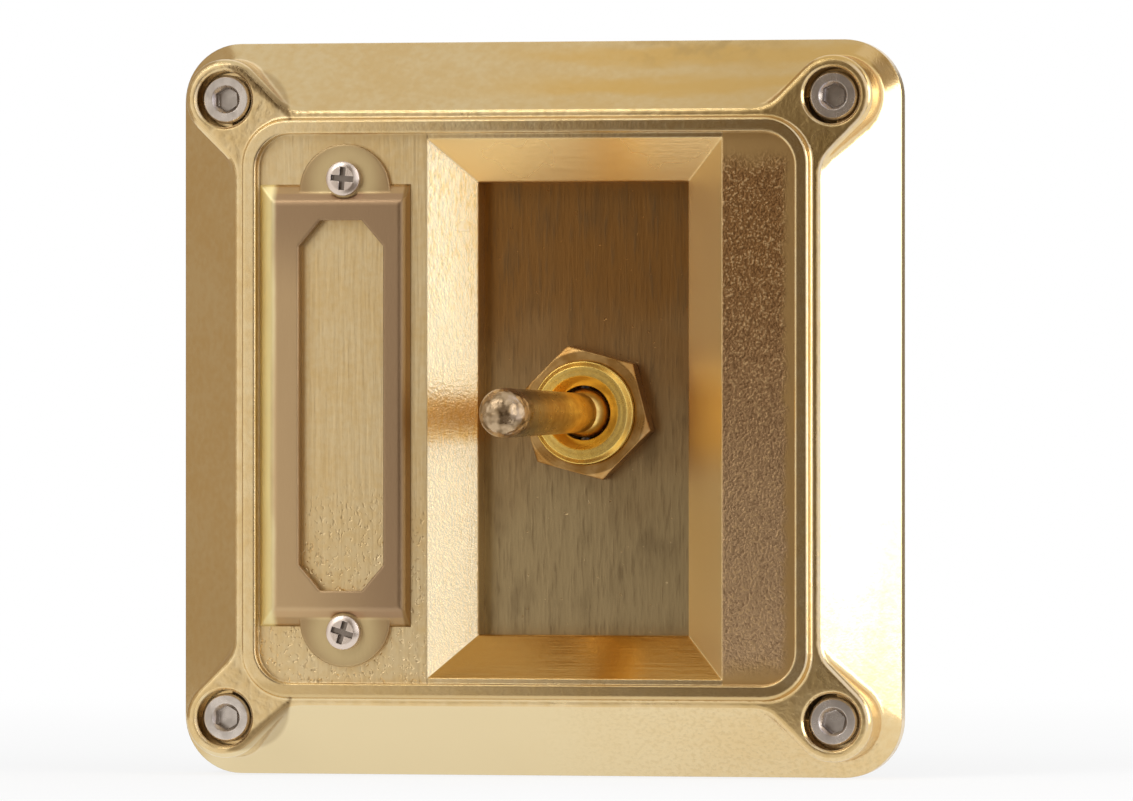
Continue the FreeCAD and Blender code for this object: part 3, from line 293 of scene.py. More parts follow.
lever_brass, place = new_finish("lever_brass")
from_pivot = place - PIVOT
along = from_pivot.node("VectorMath", {"operation": "DOT_PRODUCT"}, {0: from_pivot, 1: LEVER_LINE}, "Value")
patchy = place.noise(per_mm=0.9, detail=3.0)
dents = place.noise(per_mm=0.8, detail=1.5)
is_plated = along.ragged(patchy, 1.2).rise(TIP_START, TIP_FULL)
gold = patchy.rise(0.35, 0.7).mix(WORN_GOLD, WORN_DEEP)
gold = along.ragged(patchy, 3.0).rise(OLIVE_START, TIP_START).mix(gold, WORN_OLIVE)
silvery = dents.rise(0.45, 0.7).mix(PLATING, PLATING_DARK)
turning = along.wave(LATHE_FEED)
dress(lever_brass, ["dolly"], {
    "Metallic": 1.0,
    "Base Color": is_plated.mix(gold, silvery),
    "Roughness": 0.22 + 0.14 * patchy,
    "Normal": relief(0.3 * dents * is_plated + 0.0012 * turning + 0.012 * patchy, edge=0.1)})


# Switch plate that closes the recess from behind. Rolled brass sheet, brushed lengthways and darkened to
# brown; it greys towards the lower end and has small pits and streaks.
PLATE_BROWN = (0.285, 0.135, 0.037, 1)
PLATE_GREY = (0.46, 0.34, 0.175, 1)
PLATE_DARK = (0.15, 0.095, 0.045, 1)
GREYING_HALF = 18.2
GREYING_DRIFT = 30.0

plate_brass, place = new_finish("plate_brass")
upward = place.parts()[2]
brushing = place.noise(per_mm=3.2, detail=3.0, stretch=(1, 1, 0.09))
streaks = place.noise(per_mm=0.5, detail=4.0, stretch=(1, 1, 0.3))
clouds = place.noise(per_mm=0.07, detail=3.0)
pits = place.noise(per_mm=1.5, detail=1.0).rise(0.72, 0.78)
greyed = upward.ragged(clouds, GREYING_DRIFT).rise(GREYING_HALF, -GREYING_HALF)
tone = greyed.mix(PLATE_BROWN, PLATE_GREY)
dress(plate_brass, ["switch_plate"], {
    "Metallic": 1.0,
    "Base Color": (0.45 * streaks.rise(0.45, 0.8) + 0.4 * brushing.rise(0.5, 0.75)).mix(tone, PLATE_DARK),
    "Roughness": 0.29 + 0.1 * brushing,
    "Normal": relief(0.013 * brushing + 0.025 * streaks - 0.05 * pits, edge=0.15)})


# Front nut that clamps the switch to its plate. Milled from hexagon bar and chamfered, bronzed by age and
# brighter where it is worn.
NUT_BRONZE = (0.44, 0.225, 0.06, 1)
NUT_WORN = (0.60, 0.37, 0.14, 1)
FACING_FEED = 0.35

nut_brass, place = new_finish("nut_brass")
wear = place.noise(per_mm=0.45, detail=3.0)
swirl = from_switch_axis(place).wave(FACING_FEED)
dress(nut_brass, ["front_nut"], {
    "Metallic": 1.0,
    "Base Color": wear.rise(0.4, 0.7).mix(NUT_BRONZE, NUT_WORN),
    "Roughness": 0.22 + 0.15 * wear,
    "Normal": relief(0.001 * swirl + 0.03 * wear, edge=0.3)})


# Cover, one sand casting in brass. Its slopes and recess walls were ground and polished by hand, the label
# side of the panel was brushed upwards and the other side kept its mottled casting skin.
PANEL_OUT = -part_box("label_frame")[1].y / MM
PANEL_HALF = 32.1
RECESS_LEFT = -11.825
RECESS_RIGHT = 23.325
RECESS_TOP = 31.5
BORDER_SOFT = 0.1
PANEL_LEVELS = (-0.1, 0.1)
BOSS_LEVELS = (0.13, 0.3)
LEVEL_SOFT = 0.04
RIM_LEVELS = (0.6, 1.0)
LOW_RIM = (-31.5, -32.5)
SLOPE_START = 33.0
SLOPE_FULL = 34.0
LEAN_START = 0.3
LEAN_FULL = 0.5
FACING_OUT = (-0.8, -0.95)
FACING_BACK = (0.2, 0.6)
HOLLOW_FLOOR = (-8.5, -8.3)
HOLLOW_TAPER = 0.75
HOLLOW_REACH = (41.0, 40.8)


def leaning(tilt, way):
    """1 on faces that lean clearly one way along an axis, where way is 1 or -1."""
    return tilt.rise(way * LEAN_START, way * LEAN_FULL)


def on_slope(tilt, level, way):
    """1 on the outer slope that leans and lies one way along an axis."""
    return leaning(tilt, way) * level.rise(way * SLOPE_START, way * SLOPE_FULL)


cast_brass, place = new_finish("cast_brass")
across, inward, upward = place.parts()
tilt_x, tilt_y, tilt_z = place.node("NewGeometry", {}, {}, "Normal").parts()
above_panel = -PANEL_OUT - inward
on_panel = above_panel.between(*PANEL_LEVELS, LEVEL_SOFT)
on_panel = on_panel * upward.between(-PANEL_HALF, PANEL_HALF, BORDER_SOFT)
on_label_side = on_panel * across.between(-PANEL_HALF, RECESS_LEFT, BORDER_SOFT)
on_skin_side = on_panel * across.between(RECESS_RIGHT, PANEL_HALF, BORDER_SOFT)
on_boss = above_panel.between(*BOSS_LEVELS, LEVEL_SOFT) * tilt_y.rise(*FACING_OUT)
on_low_rim = above_panel.rise(*RIM_LEVELS) * upward.rise(*LOW_RIM)
in_recess = across.between(RECESS_LEFT, RECESS_RIGHT, BORDER_SOFT)
in_recess = in_recess * upward.between(-RECESS_TOP, RECESS_TOP, BORDER_SOFT)
on_low_wall = in_recess * leaning(tilt_z, 1)
on_top_wall = in_recess * leaning(tilt_z, -1)
on_left_wall = in_recess * leaning(tilt_x, 1)
on_right_wall = in_recess * leaning(tilt_x, -1)
on_top_slope = on_slope(tilt_z, upward, 1)
on_low_slope = on_slope(tilt_z, upward, -1)
on_left_slope = on_slope(tilt_x, across, -1)
from_middle = across.node("Math", {"operation": "MAXIMUM"}, {0: abs(across), 1: abs(upward)})
in_hollow = inward.rise(*HOLLOW_FLOOR) * (from_middle - HOLLOW_TAPER * inward).rise(*HOLLOW_REACH)
is_raw = (tilt_y.rise(*FACING_BACK) + in_hollow * (1 - in_recess)).rise(0.0, 1.0)

# Grain of the metal, from broad patches to fine brushing.
peel = place.noise(per_mm=1.1)
clouds = place.noise(per_mm=0.4, detail=3.0)
patches = place.noise(per_mm=0.09, detail=3.0)
speckle = place.noise(per_mm=3.4)
up_brush = place.noise(per_mm=2.6, detail=3.0, stretch=(1, 1, 0.06))
side_brush = place.noise(per_mm=2.6, detail=3.0, stretch=(0.06, 1, 1))
wander = place.noise(per_mm=0.3, detail=4.0, stretch=(0.3, 1, 1))
wall_brush = leaning(abs(tilt_z), 1) * side_brush + leaning(abs(tilt_x), 1) * up_brush

# Gold bands on the top slope, painted reflections, and dark mottled patches near its upper edge at the right.
HIGH_BAND = (40.3, 42.2)
LOW_BAND = (36.8, 38.6)
BAND_SOFT = 0.7
BAND_ENDS = (-16.0, 14.0)
DARK_PATCH_LEVELS = (39.5, 42.5)
DARK_PATCH_SPAN = (10.0, 28.0)
DARK_PATCH_SOFT = 5.0

band_level = upward.ragged(wander, 3.0)
reflection_bands = band_level.between(*HIGH_BAND, BAND_SOFT) + band_level.between(*LOW_BAND, BAND_SOFT)
reflection_bands = reflection_bands * across.ragged(wander, 20.0).rise(*BAND_ENDS)
upper_dark_patches = band_level.rise(*DARK_PATCH_LEVELS) * across.between(*DARK_PATCH_SPAN, DARK_PATCH_SOFT) * clouds.rise(0.4, 0.65)
upper_dark_patches = on_top_slope * upper_dark_patches

# Dark crescents in the slopes beside the two left webs, painted shade along the web fillets, with a slight
# roughening in the bump.
FILLET_SHADE_START = (-35.2, 40.9)
FILLET_SHADE_ANGLE = math.radians(39.0)
FILLET_SHADE_LENGTH = 10.0
FILLET_SHADE_WIDTH = 2.0
FILLET_SHADE_OFFSET = 1.0
FILLET_SHADE_INNER = (0.3, -0.2)
FILLET_SHADE_OUTER = (-1.3, -0.8)
FILLET_SHADE_DEEP = (0.3, -0.5)

fillet_x = across - FILLET_SHADE_START[0]
fillet_z = abs(upward) - FILLET_SHADE_START[1]
along_fillet = fillet_x * math.cos(FILLET_SHADE_ANGLE) - fillet_z * math.sin(FILLET_SHADE_ANGLE)
off_fillet = fillet_x * math.sin(FILLET_SHADE_ANGLE) + fillet_z * math.cos(FILLET_SHADE_ANGLE)
from_fillet_middle = along_fillet * (2 / FILLET_SHADE_LENGTH) - 1
bulge = FILLET_SHADE_WIDTH * (1 - from_fillet_middle * from_fillet_middle) - FILLET_SHADE_OFFSET
crescent = (off_fillet - bulge).rise(*FILLET_SHADE_INNER) * off_fillet.rise(*FILLET_SHADE_OUTER)
fillet_shade = (0.35 + 0.5 * off_fillet.rise(*FILLET_SHADE_DEEP)) * crescent
fillet_shade = fillet_shade * place.noise(per_mm=0.5, detail=4.0).rise(0.1, 0.45)

# Pits low on the label side, and crackle on the lower slope.
PITTED = (-6.0, -20.0)
CRACKLED = (-4.0, 22.0)

pit_share = on_label_side * upward.rise(*PITTED) + 0.2 * on_top_slope * patches.rise(0.5, 0.65)
pits = place.noise(per_mm=2.4, detail=1.5, stretch=(1, 1, 0.7)).rise(0.57, 0.72) * pit_share
crackle = on_low_slope * across.rise(*CRACKLED) * place.noise(per_mm=2.0, detail=4.0).rise(0.45, 0.65)

# Gold on the recess walls: a painted reflection of the lever on both side walls at its height, and streaks
# and a tan blend that come in higher up the left wall.
LEVER_REFLECTION_SPAN = (-3.8, 1.2)
LEVER_REFLECTION_SOFT = 0.9
RIGHT_REFLECTION_SPAN = (-6.0, 3.0)
RIGHT_REFLECTION_SOFT = 2.5
GILT_ENDS = (4.0, 26.0)
TAN_DEPTHS = (-1.5, -6.5)

lever_reflection = upward.between(*LEVER_REFLECTION_SPAN, LEVER_REFLECTION_SOFT)
gilt_share = 0.25 + 0.75 * upward.rise(*GILT_ENDS) + 0.5 * lever_reflection
gilt = place.noise(per_mm=2.6, detail=4.0, stretch=(1, 1, 0.35)).rise(0.42, 0.7)
gilt = on_left_wall * gilt_share * gilt
tan = on_left_wall * above_panel.rise(*TAN_DEPTHS) * upward.rise(*GILT_ENDS)
lever_reflection = on_left_wall * lever_reflection + on_right_wall * upward.between(*RIGHT_REFLECTION_SPAN, RIGHT_REFLECTION_SOFT)

# Casting skin on the right of the panel, with a smoother border along the rim; its golden specks are partly
# grain, partly painted glints.
SKIN_BORDER_ENDS = (PANEL_HALF - 0.7, PANEL_HALF - 1.9)
SKIN_SPAN = (2.0 - PANEL_HALF, PANEL_HALF - 3.4)
SKIN_SOFT = 1.7
COARSE_ENDS = (-12.0, 16.0)

skin = place.noise(per_mm=3.6, detail=3.0)
clumps = place.noise(per_mm=0.9)
skin_core = on_skin_side * across.ragged(clouds, 2.0).rise(*SKIN_BORDER_ENDS)
skin_core = skin_core * upward.ragged(clouds, 3.0).between(*SKIN_SPAN, SKIN_SOFT)
coarse = 0.65 + 0.35 * upward.rise(*COARSE_ENDS)
grains_and_glints = skin.rise(0.53, 0.63) * clumps.rise(0.36, 0.58) * coarse
skin_pits = skin.rise(0.48, 0.38) * clumps.rise(0.64, 0.42) * coarse

# Tones of the casting, painted light and shade among them, and how far across or up the plate each of them
# comes in.
CAST_PALE = (0.83, 0.65, 0.37, 1)
CAST_DEEP = (0.78, 0.56, 0.265, 1)
CAST_LOW_PAINTED_LIGHT = (0.82, 0.675, 0.41, 1)
CAST_DARK_TONE_AND_PAINTED_SHADE = (0.58, 0.40, 0.165, 1)
CAST_GOLD_AND_PAINTED_REFLECTION = (0.80, 0.50, 0.14, 1)
CAST_PIT = (0.36, 0.24, 0.12, 1)
CAST_FILLET_SHADE = (0.26, 0.165, 0.07, 1)
CAST_RAW = (0.44, 0.32, 0.165, 1)
CAST_RAW_DARK = (0.27, 0.185, 0.085, 1)
SKIN_TOP_SHADED = (0.33, 0.17, 0.063, 1)
SKIN_LOW = (0.54, 0.355, 0.195, 1)
SKIN_GRAIN_AND_GLINT = (0.68, 0.45, 0.22, 1)
SKIN_PIT = (0.15, 0.075, 0.03, 1)
SKIN_BORDER = (0.66, 0.42, 0.17, 1)
WALL_LOW_PAINTED_SHADE = (0.56, 0.31, 0.07, 1)
WALL_RIGHT_PAINTED_LIGHT = (0.99, 0.785, 0.425, 1)
WALL_TOP_PAINTED_LIGHT = (0.97, 0.71, 0.34, 1)
WALL_LEFT_PAINTED_LIGHT = (0.84, 0.68, 0.40, 1)
TOP_REFLECTION_ENDS = (-15.0, 25.0)
TOP_PAINTED_SHADE_ENDS = (4.0, 30.0)
LOW_PAINTED_LIGHT_ENDS = (60.0, -15.0)
LEFT_PAINTED_SHADE_ENDS = (-8.0, -36.0)
BOSS_ACROSS = (0.0, 30.0)
BOSS_UP = (-20.0, 20.0)
SKIN_SHADE_ENDS = (20.0, -20.0)

# On the bosses and webs, a mottle of the metal's own plus painted shade, darker to the right and higher up.
boss_mottle_and_painted_shade = 0.3 * clouds.rise(0.4, 0.7) + across.rise(*BOSS_ACROSS) * (0.55 + 0.45 * upward.rise(*BOSS_UP))
# Painted shade low on the left slope.
left_painted_shade = on_left_slope * upward.ragged(patches, 20.0).rise(*LEFT_PAINTED_SHADE_ENDS)
mottle = 0.6 * patches + 0.4 * peel
metal = mottle.rise(0.32, 0.68).mix(CAST_PALE, CAST_DEEP)
# Painted reflections on the top slope: gold bands, and more gold towards the right.
metal = (on_top_slope * (0.2 * across.rise(*TOP_REFLECTION_ENDS) + 0.6 * reflection_bands)).mix(metal, CAST_GOLD_AND_PAINTED_REFLECTION)
# Dark mottled patches near the top slope's upper edge, and painted shade darkening the top slope towards the
# right.
metal = (0.55 * upper_dark_patches + 0.35 * on_top_slope * across.rise(*TOP_PAINTED_SHADE_ENDS)).mix(metal, CAST_DARK_TONE_AND_PAINTED_SHADE)
# Painted light: the lower slope paler, most at the left.
metal = (on_low_slope * across.rise(*LOW_PAINTED_LIGHT_ENDS)).mix(metal, CAST_LOW_PAINTED_LIGHT)
metal = (0.25 * crackle + on_boss * boss_mottle_and_painted_shade).mix(metal, CAST_DARK_TONE_AND_PAINTED_SHADE)
# The rim's top darker along the bottom edge.
metal = (0.6 * on_low_rim).mix(metal, CAST_DARK_TONE_AND_PAINTED_SHADE)
metal = (0.4 * left_painted_shade).mix(metal, CAST_DARK_TONE_AND_PAINTED_SHADE)
# Painted light and shade: each recess wall takes its own tone by the way it faces, dark on the bottom wall
# and bright on the others.
metal = (0.85 * on_low_wall).mix(metal, WALL_LOW_PAINTED_SHADE)
metal = on_right_wall.mix(metal, WALL_RIGHT_PAINTED_LIGHT)
metal = on_top_wall.mix(metal, WALL_TOP_PAINTED_LIGHT)
metal = on_left_wall.mix(metal, WALL_LEFT_PAINTED_LIGHT)
# Painted reflection of the lever on the side walls, with gold streaks and a tan blend on the left wall.
metal = (0.5 * gilt + 0.55 * lever_reflection + 0.4 * tan).mix(metal, CAST_GOLD_AND_PAINTED_REFLECTION)
# Painted shade in the crescents beside the left webs.
metal = fillet_shade.mix(metal, CAST_FILLET_SHADE)
# Skin painted darker towards the top, a painted shade, with golden specks that are partly grain and partly
# painted glints.
skin_tone = grains_and_glints.mix(upward.rise(*SKIN_SHADE_ENDS).mix(SKIN_TOP_SHADED, SKIN_LOW), SKIN_GRAIN_AND_GLINT)
skin_tone = (0.6 * skin_pits).mix(skin_tone, SKIN_PIT)
metal = on_skin_side.mix(metal, skin_core.mix(SKIN_BORDER, skin_tone))
metal = (0.3 * pits).mix(metal, CAST_PIT)
raw_tone = mottle.rise(0.35, 0.65).mix(CAST_RAW, CAST_RAW_DARK)
metal = is_raw.mix(metal, raw_tone)
height = 0.008 * peel + 0.005 * speckle + 0.09 * skin_core * (skin - 0.5) + 0.02 * on_label_side * up_brush
height = height + (0.012 * in_recess - 0.007 * on_top_wall) * wall_brush + 0.03 * on_left_wall * speckle
height = height + 0.08 * is_raw * skin - 0.06 * fillet_shade * speckle - 0.05 * pits
height = height + 0.05 * on_boss * peel - 0.03 * crackle
dress(cast_brass, ["cover"], {
    "Metallic": 1.0,
    "Base Color": metal,
    "Roughness": (0.14 + 0.08 * patches + 0.16 * on_label_side + 0.14 * on_skin_side + 0.3 * is_raw
                  + 0.18 * on_right_wall + 0.08 * on_left_wall + 0.1 * on_top_wall + 0.1 * on_boss),
    "Normal": relief(height, edge=0.3)})


# Label frame, screwed to the panel. Pressed from brass sheet with bent-down sides and an eight-sided window;
# satin and pinkish, yellower by the screws, with painted shade to the right, at the top and round the ears'
# edges, painted yellow light on the left bend and painted shade on the right edge.
BLOOM_LEFT = (0.58, 0.40, 0.215, 1)
BLOOM_PAINTED_SHADE = (0.39, 0.255, 0.145, 1)
EAR_BRASS = (0.68, 0.52, 0.27, 1)
EAR_PAINTED_SHADE = (0.46, 0.31, 0.155, 1)
BEND_PAINTED_LIGHT = (0.95, 0.86, 0.50, 1)
EDGE_PAINTED_SHADE = (0.28, 0.165, 0.06, 1)
EAR_LIT_RADIUS = 2.6
EAR_SHADE_RADIUS = 5.2
EAR_TOP = (PANEL_OUT + 0.72, PANEL_OUT + 0.95)
UPPER_SHADE_ENDS = (12.0, 23.0)
frame_low, frame_high = (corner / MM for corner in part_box("label_frame"))
BLOOM_SHADE_ENDS = (frame_low.x + 3.0, frame_high.x - 1.0)
LEFT_BEND = (frame_low.x + 2.4, frame_low.x + 1.4)
RIGHT_EDGE = (frame_high.x - 0.9, frame_high.x - 0.5)
pan_low, pan_high = (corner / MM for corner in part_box("label_screws"))
pan_radius = (pan_high.x - pan_low.x) / 2
pan_x = (pan_low.x + pan_high.x) / 2
pan_z = (pan_low.z + pan_high.z) / 2
pan_reach = (pan_high.z - pan_low.z) / 2 - pan_radius


def from_pan_screws(across, upward):
    """How far a place is from the line of the nearer label screw, in millimetres."""
    away_x = across - pan_x
    away_z = abs(upward - pan_z) - pan_reach
    squares = away_x * away_x + away_z * away_z
    return squares.node("Math", {"operation": "SQRT"}, {0: squares})


sheet_brass, place = new_finish("sheet_brass")
across, inward, upward = place.parts()
above_ears = (0 - inward).rise(*EAR_TOP)
bloom = place.noise(per_mm=0.12, detail=3.0)
satin = place.noise(per_mm=4.0, stretch=(1, 1, 0.3))
on_left_bend = across.ragged(bloom, 0.8).rise(*LEFT_BEND)
# Painted shade: darker towards the right and at the top.
tone = across.ragged(bloom, 5.0).rise(*BLOOM_SHADE_ENDS).mix(BLOOM_LEFT, BLOOM_PAINTED_SHADE)
tone = (0.9 * upward.rise(*UPPER_SHADE_ENDS)).mix(tone, BLOOM_PAINTED_SHADE)
# Painted shade round the edges of the ears, lighter by the screws.
ear_shading = from_pan_screws(across, upward).ragged(bloom, 1.5).rise(EAR_LIT_RADIUS, EAR_SHADE_RADIUS).mix(EAR_BRASS, EAR_PAINTED_SHADE)
tone = above_ears.mix(ear_shading, tone)
# Painted light on the left bend, painted shade on the right edge.
tone = on_left_bend.mix(tone, BEND_PAINTED_LIGHT)
tone = across.rise(*RIGHT_EDGE).mix(tone, EDGE_PAINTED_SHADE)
dress(sheet_brass, ["label_frame"], {
    "Metallic": 1.0,
    "Base Color": tone,
    "Roughness": 0.31 + 0.14 * bloom + 0.2 * on_left_bend,
    "Normal": relief(0.008 * satin + 0.03 * bloom, edge=0.4)})


# Cover screws and label screws. Stainless steel, headed and thread-rolled, with a satin face, fine
# scratches and a faint warm cast, a painted reflection of the brass round them; the sockets and cross
# recesses are painted dark, a painted shade.
STAINLESS_PALE = (0.74, 0.66, 0.59, 1)
STAINLESS_GREY = (0.48, 0.42, 0.365, 1)
PAN_PALE = (0.78, 0.66, 0.57, 1)
SOCKET_PAINTED_SHADE = (0.13, 0.105, 0.085, 1)
CAP_TOP = -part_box("cover_screws")[0].y / MM
PAN_TOP = -pan_low.y
PAN_EDGE = (pan_radius + 1.0, pan_radius)
PAN_FOOT = (PAN_TOP - 1.6, PAN_TOP - 1.3)
CROSS_EDGE = (1.45, 1.41)
CROSS_DEPTHS = (PAN_TOP - 1.0, PAN_TOP - 0.1)
CROSS_SOFT = 0.04
SOCKET_DEPTHS = (CAP_TOP - 3.0, CAP_TOP - 0.45)
SOCKET_SOFT = 0.1

stainless, place = new_finish("stainless")
across, inward, upward = place.parts()
outward = 0 - inward
from_pan = from_pan_screws(across, upward)
is_pan = from_pan.rise(*PAN_EDGE) * outward.rise(*PAN_FOOT)
in_cross = from_pan.rise(*CROSS_EDGE) * outward.between(*CROSS_DEPTHS, CROSS_SOFT)
in_socket = outward.between(*SOCKET_DEPTHS, SOCKET_SOFT) * (1 - is_pan)
scratches = place.noise(per_mm=2.2, detail=4.0, stretch=(1, 1, 0.25))
smudge = place.noise(per_mm=0.4, detail=3.0)
steel = is_pan.mix(smudge.rise(0.35, 0.7).mix(STAINLESS_PALE, STAINLESS_GREY), PAN_PALE)
dress(stainless, ["cover_screws", "label_screws"], {
    "Metallic": 1.0,
    # Painted shade in the sockets and cross recesses.
    "Base Color": (0.75 * in_cross + 0.2 * in_socket).mix(steel, SOCKET_PAINTED_SHADE),
    "Roughness": 0.2 + 0.16 * smudge,
    "Normal": relief(0.012 * scratches, edge=0.15)})


# Threads on the free ends of the cover screws, rolled into the same stainless bar as the screws. Each is
# one triangular ridge that winds along the shank from the back of the cover to near its end.
SCREW_PITCH = 0.5 * MM
CREST_RADIUS = 1.48 * MM
ROOT_RADIUS = 1.28 * MM
HEAD_RADIUS = 2.85 * MM
THREAD_START = 0.2 * MM
END_CHAMFER = 0.6 * MM
STEPS_PER_TURN = 20
RIDGE = [(ROOT_RADIUS, -SCREW_PITCH / 2), (CREST_RADIUS, 0), (ROOT_RADIUS, SCREW_PITCH / 2)]
screws_low, screws_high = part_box("cover_screws")
thread_turns = int((screws_high.y - END_CHAMFER - THREAD_START) / SCREW_PITCH)

threads = bmesh.new()
for corner_x in (screws_low.x + HEAD_RADIUS, screws_high.x - HEAD_RADIUS):
    for corner_z in (screws_low.z + HEAD_RADIUS, screws_high.z - HEAD_RADIUS):
        start = Vector((corner_x, THREAD_START + SCREW_PITCH / 2, corner_z))
        points = [threads.verts.new(start + Vector((out, along, 0))) for out, along in RIDGE]
        profile = threads.faces.new(points)
        bmesh.ops.spin(threads, geom=[profile, *profile.edges, *points], cent=start, axis=(0, 1, 0),
                       dvec=(0, SCREW_PITCH / STEPS_PER_TURN, 0), angle=2 * math.pi * thread_turns,
                       steps=STEPS_PER_TURN * thread_turns)
bmesh.ops.recalc_face_normals(threads, faces=threads.faces)
thread_mesh = bpy.data.meshes.new("cover_screw_threads")
threads.to_mesh(thread_mesh)
threads.free()
thread_mesh.materials.append(stainless)
cover_screw_threads = bpy.data.objects.new("cover_screw_threads", thread_mesh)
bpy.context.scene.collection.objects.link(cover_screw_threads)
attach(cover_screw_threads, "housing")


# Floor, a pale sheet under the switch. It glows as white as the surround, and near the switch a share of
# it is matt paint instead, which takes the shadow.
WHITE = (1, 1, 1, 1)
FLOOR_WHITE = (0.86, 0.86, 0.86, 1)
FLOOR_SIZE = 3.0
SHADOW_REACH = 0.35
SHADOW_SHARE = 0.22


def new_panel(name, middle, width, length, turn):
    """A flat stage panel; turn points its upper side the right way."""
    panel = bmesh.new()
    bmesh.ops.create_grid(panel, x_segments=1, y_segments=1, size=0.5)
    bmesh.ops.scale(panel, vec=(width, length, 1), verts=panel.verts)
    bmesh.ops.transform(panel, matrix=Matrix.Translation(middle) @ turn.to_4x4(), verts=panel.verts)
    mesh = bpy.data.meshes.new(name)
    panel.to_mesh(mesh)
    panel.free()
    made = bpy.data.objects.new(name, mesh)
    bpy.context.scene.collection.objects.link(made)
    return made


def shown_directly(wire):
    """1 for rays that show a surface, straight, mirrored or through glass, else 0."""
    rays = wire.node("LightPath", {}, {}).socket.node.outputs
    by_camera, by_gloss, by_glass = (
        Wire(rays[name]) for name in ("Is Camera Ray", "Is Glossy Ray", "Is Transmission Ray"))
    return (by_camera + by_gloss + by_glass).rise(0.0, 1.0)


flat = Matrix.Identity(3)
floor = new_panel("floor", Vector((0, 0, cad_box[0].z)), FLOOR_SIZE, FLOOR_SIZE, flat)
floor_paint, place = new_finish("floor_paint")
floor_nodes = floor_paint.node_tree.nodes
fill(floor_nodes["Principled BSDF"], {"Base Color": FLOOR_WHITE, "Roughness": 0.9, "Specular IOR Level": 0.0})
near = (place * (1, 1, 0)).length().rise(SHADOW_REACH / MM, 0.0)
white = shown_directly(near) * (1 - SHADOW_SHARE * near)
glow = near.node("Emission", {}, {"Color": WHITE, "Strength": 1.0})
painted = Wire(floor_nodes["Principled BSDF"].outputs[0])
fill(floor_nodes["Material Output"], {"Surface": near.node("MixShader", {}, {0: white, 1: painted, 2: glow})})
floor.data.materials.append(floor_paint)


# Surround, a room with white walls. The camera and the metal see it plain white, and as a light it is
# dimmer and even, so that the lamps still shape the switch.
FILL_LEVEL = 0.55

world = bpy.data.worlds.new("white_room")
world.use_nodes = True
bpy.context.scene.world = world
background = world.node_tree.nodes["Background"]
seen = shown_directly(Wire(background.outputs[0]))
fill(background, {"Color": WHITE, "Strength": FILL_LEVEL + (1 - FILL_LEVEL) * seen})


# Flags, painted cards round the switch that only the metal mirrors. Brown on the left and by the upper right
# corner, grey above, cool white by the recess, dark behind the right edge, and graded in front and below.
LEFT_BROWN = (0.46, 0.38, 0.28, 1)
TOP_GREY = (0.74, 0.72, 0.68, 1)
RIGHT_COOL = (0.87, 0.91, 1.14, 1)
EDGE_SHADE = (0.22, 0.18, 0.12, 1)
CORNER_BROWN = (0.30, 0.23, 0.14, 1)
FRONT_LIGHT = (0.90, 0.87, 0.83, 1)
FRONT_DARK_LOW = (0.18, 0.148, 0.118, 1)
FRONT_DARK_HIGH = (0.125, 0.085, 0.045, 1)
FRONT_EDGE = (-118.0, -62.0)
FRONT_FALL = (-50.0, 60.0)
FLOOR_EDGE = (-60.0, -10.0)
BLACK = (0, 0, 0, 1)
CORNER_PLACE = Vector((0.27, -0.075, 0.22))


def new_flag(name, middle, width, length, turn, light):
    """A card that the camera doesn't see; light is its colour, or a function of a place that gives it."""
    flag = new_panel(name, middle, width, length, turn)
    flag.visible_camera = False
    flag.visible_diffuse = False
    flag.visible_shadow = False
    paint, place = new_finish(name + "_paint")
    fill(paint.node_tree.nodes["Principled BSDF"], {
        "Base Color": BLACK, "Specular IOR Level": 0.0,
        "Emission Color": light(place) if callable(light) else light, "Emission Strength": 1.0})
    flag.data.materials.append(paint)


def front_light(place):
    """Light at the front flag's left, dark at its right, and darkest at the upper right."""
    across, _, upward = place.parts()
    dark = upward.rise(*FRONT_FALL).mix(FRONT_DARK_LOW, FRONT_DARK_HIGH)
    return across.rise(*FRONT_EDGE).mix(FRONT_LIGHT, dark)


def floor_light(place):
    """Light at the left of the card on the floor and dark at its right."""
    return place.parts()[0].rise(*FLOOR_EDGE).mix(FRONT_LIGHT, FRONT_DARK_LOW)


facing_right = Matrix.Rotation(math.radians(90), 3, "Y")
facing_left = Matrix.Rotation(math.radians(-90), 3, "Y")
facing_down = Matrix.Rotation(math.radians(180), 3, "X")
facing_back = Matrix.Rotation(math.radians(-90), 3, "X")
facing_corner = CORNER_PLACE.to_track_quat("Z", "Y").to_matrix()
new_flag("left_flag", middle=Vector((-0.20, 0.13, 0.16)), width=0.42, length=0.4,
         turn=facing_right, light=LEFT_BROWN)
new_flag("floor_card", middle=Vector((0, -0.2, cad_box[0].z + MM)), width=0.6, length=0.28,
         turn=flat, light=floor_light)
new_flag("top_flag", middle=Vector((0, -0.05, 0.45)), width=0.9, length=0.5,
         turn=facing_down, light=TOP_GREY)
new_flag("right_card", middle=Vector((0.06, -0.039, 0.05)), width=0.20, length=0.04,
         turn=facing_left, light=RIGHT_COOL)
new_flag("edge_card", middle=Vector((0.12, 0.30, 0.05)), width=0.10, length=0.40,
         turn=facing_back, light=EDGE_SHADE)
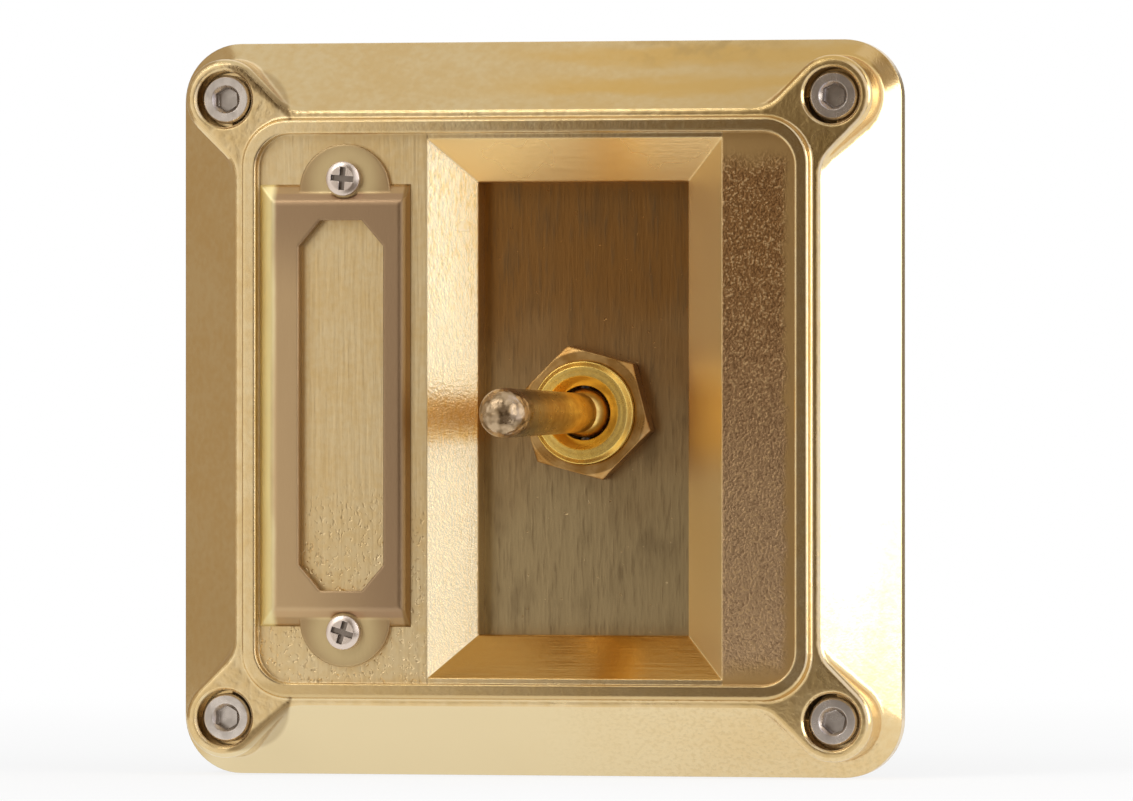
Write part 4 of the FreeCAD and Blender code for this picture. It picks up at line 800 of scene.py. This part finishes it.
new_flag("corner_card", middle=CORNER_PLACE, width=0.20, length=0.20,
         turn=facing_corner, light=CORNER_BROWN)
new_flag("front_flag", middle=Vector((-0.10, -0.35, 0.12)), width=0.5, length=0.6,
         turn=facing_back, light=front_light)


# Lamps, two soft boxes of white cloth stretched over a frame. The large one on the right is what the
# right-hand slopes mirror, and the smaller one stands high on the left.
def new_lamp(name, place, width, height, watts):
    """A rectangular soft box aimed at the middle of the plate."""
    light = bpy.data.lights.new(name, "AREA")
    light.shape = "RECTANGLE"
    light.size = width
    light.size_y = height
    light.energy = watts
    lamp = bpy.data.objects.new(name, light)
    lamp.location = place
    lamp.rotation_euler = (-place).to_track_quat("-Z", "Y").to_euler()
    lamp.visible_camera = False
    bpy.context.scene.collection.objects.link(lamp)


new_lamp("right_box", place=Vector((0.45, -0.12, 0.14)), width=0.40, height=0.46, watts=1.8)
new_lamp("left_box", place=Vector((-0.30, -0.45, 0.45)), width=0.35, height=0.35, watts=1.6)


# Camera, with a long lens, a little to the right of the plate's middle line and level with it. It is aimed
# a little above and right of the middle, so that the plate sits low and left in the picture.
VIEW_AZIMUTH = math.radians(12.5)
DISTANCE = 1.2
FRAME_WIDTH = 0.133
AIM_RIGHT = 2.55 * MM
AIM_UP = 0.94 * MM
SENSOR = 36.0
NEAR_LIMIT = 0.05

lens = bpy.data.cameras.new("camera")
lens.sensor_width = SENSOR
lens.lens = SENSOR * DISTANCE / FRAME_WIDTH
lens.clip_start = NEAR_LIMIT
camera = bpy.data.objects.new("camera", lens)
right = Vector((math.cos(VIEW_AZIMUTH), math.sin(VIEW_AZIMUTH), 0))
back = Vector((math.sin(VIEW_AZIMUTH), -math.cos(VIEW_AZIMUTH), 0))
aim = right * AIM_RIGHT + Vector((0, 0, AIM_UP))
camera.location = aim + back * DISTANCE
camera.rotation_euler = (-back).to_track_quat("-Z", "Y").to_euler()
bpy.context.scene.collection.objects.link(camera)
bpy.context.scene.camera = camera
bpy.context.scene.view_settings.view_transform = "Standard"
